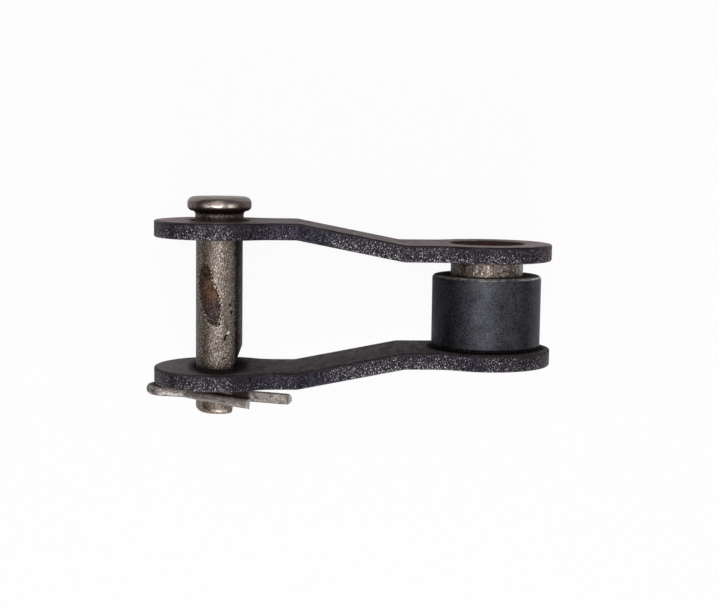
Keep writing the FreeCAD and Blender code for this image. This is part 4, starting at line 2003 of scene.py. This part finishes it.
@dataclass
class Studio:
    """Camera, lamps and floor round the lying link.

    Attributes:
        floor_z: Height of the floor, in millimetres.
        tilt: Camera's turn about the link's X, in degrees.
        yaw: Camera's turn about the link's Y, in degrees.
        roll: Camera's turn about its own axis, in degrees.
        distance: Camera's distance from its target, in millimetres.
        focal: Focal length, in millimetres.
        sensor: Width of the sensor, in millimetres.
        target: Point that the camera and the lamps are aimed at, in millimetres.
        floor_half: Half width of the floor, in metres.
        lamps: The area lamps.
    """

    floor_z: float
    tilt: float = 6.288
    yaw: float = 3.246
    roll: float = -0.403
    distance: float = 227.68
    focal: float = 73.63
    sensor: float = 36.0
    target: Triple = (-19.817, -0.094, 0.0)
    floor_half: float = 1.2
    lamps: tuple[Lamp, ...] = (
        Lamp("key_softbox", (-0.08, 0.06, 0.40), 0.30, 0.82),
        Lamp("foot_softbox", (-0.03, -0.34, 0.16), 0.16, 1.15),
        Lamp("left_softbox", (-0.34, 0.02, 0.29), 0.24, 0.10),
        Lamp("side_softbox", (0.34, 0.0, 0.29), 0.32, 0.24),
        Lamp("back_softbox", (-0.05, 0.30, 0.32), 0.20, 0.17),
    )

    def camera(self) -> None:
        """Sets the camera at the photograph's viewing angle."""
        turned = (
            Matrix.Rotation(math.radians(self.roll), 3, "Z")
            @ Matrix.Rotation(math.radians(self.yaw), 3, "Y")
            @ Matrix.Rotation(math.radians(self.tilt), 3, "X")
        )
        axes = turned.transposed()
        data = bpy.data.cameras.new("camera")
        data.lens = self.focal
        data.sensor_width = self.sensor
        data.clip_start = 10 * MM
        camera = placed("camera", data)
        place = (Vector(self.target) + axes @ Vector((0, 0, self.distance))) * MM
        camera.matrix_world = Matrix.Translation(place) @ axes.to_4x4()
        bpy.context.scene.camera = camera

    def floor(self) -> None:
        """Lays a pale floor that shows white to the camera and keeps a soft shadow; in reflections it shows
        extra painted light to the right and towards the back.
        """
        half, height = self.floor_half, self.floor_z * MM
        mesh = bpy.data.meshes.new("floor")
        corners = [(x, y, height) for x, y in ((-half, -half), (half, -half), (half, half), (-half, half))]
        mesh.from_pydata(corners, [], [(0, 1, 2, 3)])
        floor = placed("floor", mesh)
        made = bpy.data.materials.new("pale_floor")
        graph = cleared(made)
        plain = graph.add("ShaderNodeBsdfDiffuse", {"Color": (0.66, 0.66, 0.66, 1.0)})
        white = graph.add("ShaderNodeEmission", {"Color": WHITE, "Strength": 1.0})
        parts = graph.parts(graph.add("ShaderNodeTexCoord").outputs["Object"])
        # Painted light: more white in reflections to the right and towards the back.
        rightward = graph.ranged(parts["X"], -0.03, 0.02, 0.0, 0.20)
        backward = graph.ranged(parts["Y"], 0.005, 0.025, 0.0, 0.09)
        share = self.seen_share(graph, 0.95, graph.plus(rightward, backward))
        mixed = graph.add("ShaderNodeMixShader", {0: share, 1: plain.outputs[0], 2: white.outputs[0]})
        graph.add("ShaderNodeOutputMaterial", {"Surface": mixed.outputs[0]})
        mesh.materials.append(made)

    @staticmethod
    def seen_share(graph: Graph, camera: float, glossy: object) -> object:
        """Share of white that each kind of ray sees.

        Args:
            graph: The floor material's graph.
            camera: Share that camera rays see.
            glossy: Share that glossy and transmission rays see.

        Returns:
            The share's socket.
        """
        path = graph.add("ShaderNodeLightPath").outputs
        mirrored = graph.larger(path["Is Glossy Ray"], path["Is Transmission Ray"])
        direct = graph.times(path["Is Camera Ray"], camera)
        return graph.larger(direct, graph.times(mirrored, glossy))

    def world(self) -> None:
        """Sets the room light: bright above, dim at the left, and white where the camera sees it."""
        world = bpy.data.worlds.new("room")
        bpy.context.scene.world = world
        graph = cleared(world)
        parts = graph.parts(graph.add("ShaderNodeTexCoord").outputs["Generated"])
        above = graph.ranged(parts["Z"], 0.0, 1.0, 0.02, 0.32)
        right = graph.ranged(parts["X"], -0.6, 0.9, 0.0, 0.06)
        room = graph.add("ShaderNodeBackground", {"Color": WHITE, "Strength": graph.plus(above, right)})
        white = graph.add("ShaderNodeBackground", {"Color": WHITE, "Strength": 1.0})
        share = graph.add("ShaderNodeLightPath").outputs["Is Camera Ray"]
        mixed = graph.add("ShaderNodeMixShader", {0: share, 1: room.outputs[0], 2: white.outputs[0]})
        graph.add("ShaderNodeOutputWorld", {"Surface": mixed.outputs[0]})

    def light(self) -> None:
        """Adds the lamps, each turned towards the middle of the link."""
        middle = Vector(self.target) * MM
        for lamp in self.lamps:
            data = bpy.data.lights.new(lamp.name, "AREA")
            data.size = lamp.size
            data.energy = lamp.power
            place = Vector(lamp.place)
            aim = (middle - place).to_track_quat("-Z", "Y").to_matrix().to_4x4()
            placed(lamp.name, data).matrix_world = Matrix.Translation(place) @ aim

    def build(self) -> None:
        """Sets the camera, floor, room and lamps."""
        bpy.context.scene.view_settings.view_transform = "Standard"
        self.camera()
        self.floor()
        self.world()
        self.light()


def dress(piece: bpy.types.Object, body: str, node: str) -> None:
    """Hangs a finished piece on its body in place of the node that it stands for."""
    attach(piece, body)
    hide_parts(node)
    LOG.info("%s: %d faces on body %s", piece.name, len(piece.data.polygons), body)


def main() -> None:
    """Builds the link's pieces in order."""
    logging.basicConfig(level=logging.INFO, format="%(message)s")
    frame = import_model()
    mounts = {mount["name"]: mount for mount in frame["record"]["mounts"]}
    pin_x = mounts["link_pin"]["pos_m"][0] / MM
    effects = Effects()
    torn, pitted, wire = torn_edge_tree(), pitted_tree(), half_round_tree()

    plate_material = BlackenedPlate().material(effects)
    for side, seed in ((Side.UPPER, 4.0), (Side.LOWER, 21.0)):
        plate = SidePlate(side, -pin_x, seed=seed).build(torn, plate_material)
        dress(plate, "link", f"{side.name.lower()}_offset_plate")

    pair = BushAndRoller()
    bush_finish = WornSteel(
        "worn_bush",
        bright=(0.33, 0.275, 0.236),
        stain=(0.06, 0.04, 0.028),
        grime=(0.055, 0.033, 0.027),
        grain=2300.0,
        stain_share=0.54,
    )
    bush_material = bush_finish.material(effects)
    dress(pair.bush(pitted, bush_material), "link", "bushing")
    dress(pair.roller(BlackRoller().material(effects)), "roller", "roller")

    pin = HeadedPin(pin_x).build(pitted, RustedPin().material(effects))
    dress(pin, "pin", "connecting_pin")
    cotter = SplitCotter(pin_x)
    wire_material = DrawnWire(length=cotter.length() * MM).material(effects)
    dress(cotter.build(wire, wire_material), "cotter", "cotter")

    lowest = min(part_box(node)[0].z for node in frame["nodes"]) / MM
    Studio(lowest).build()


if __name__ == "__main__":
    main()
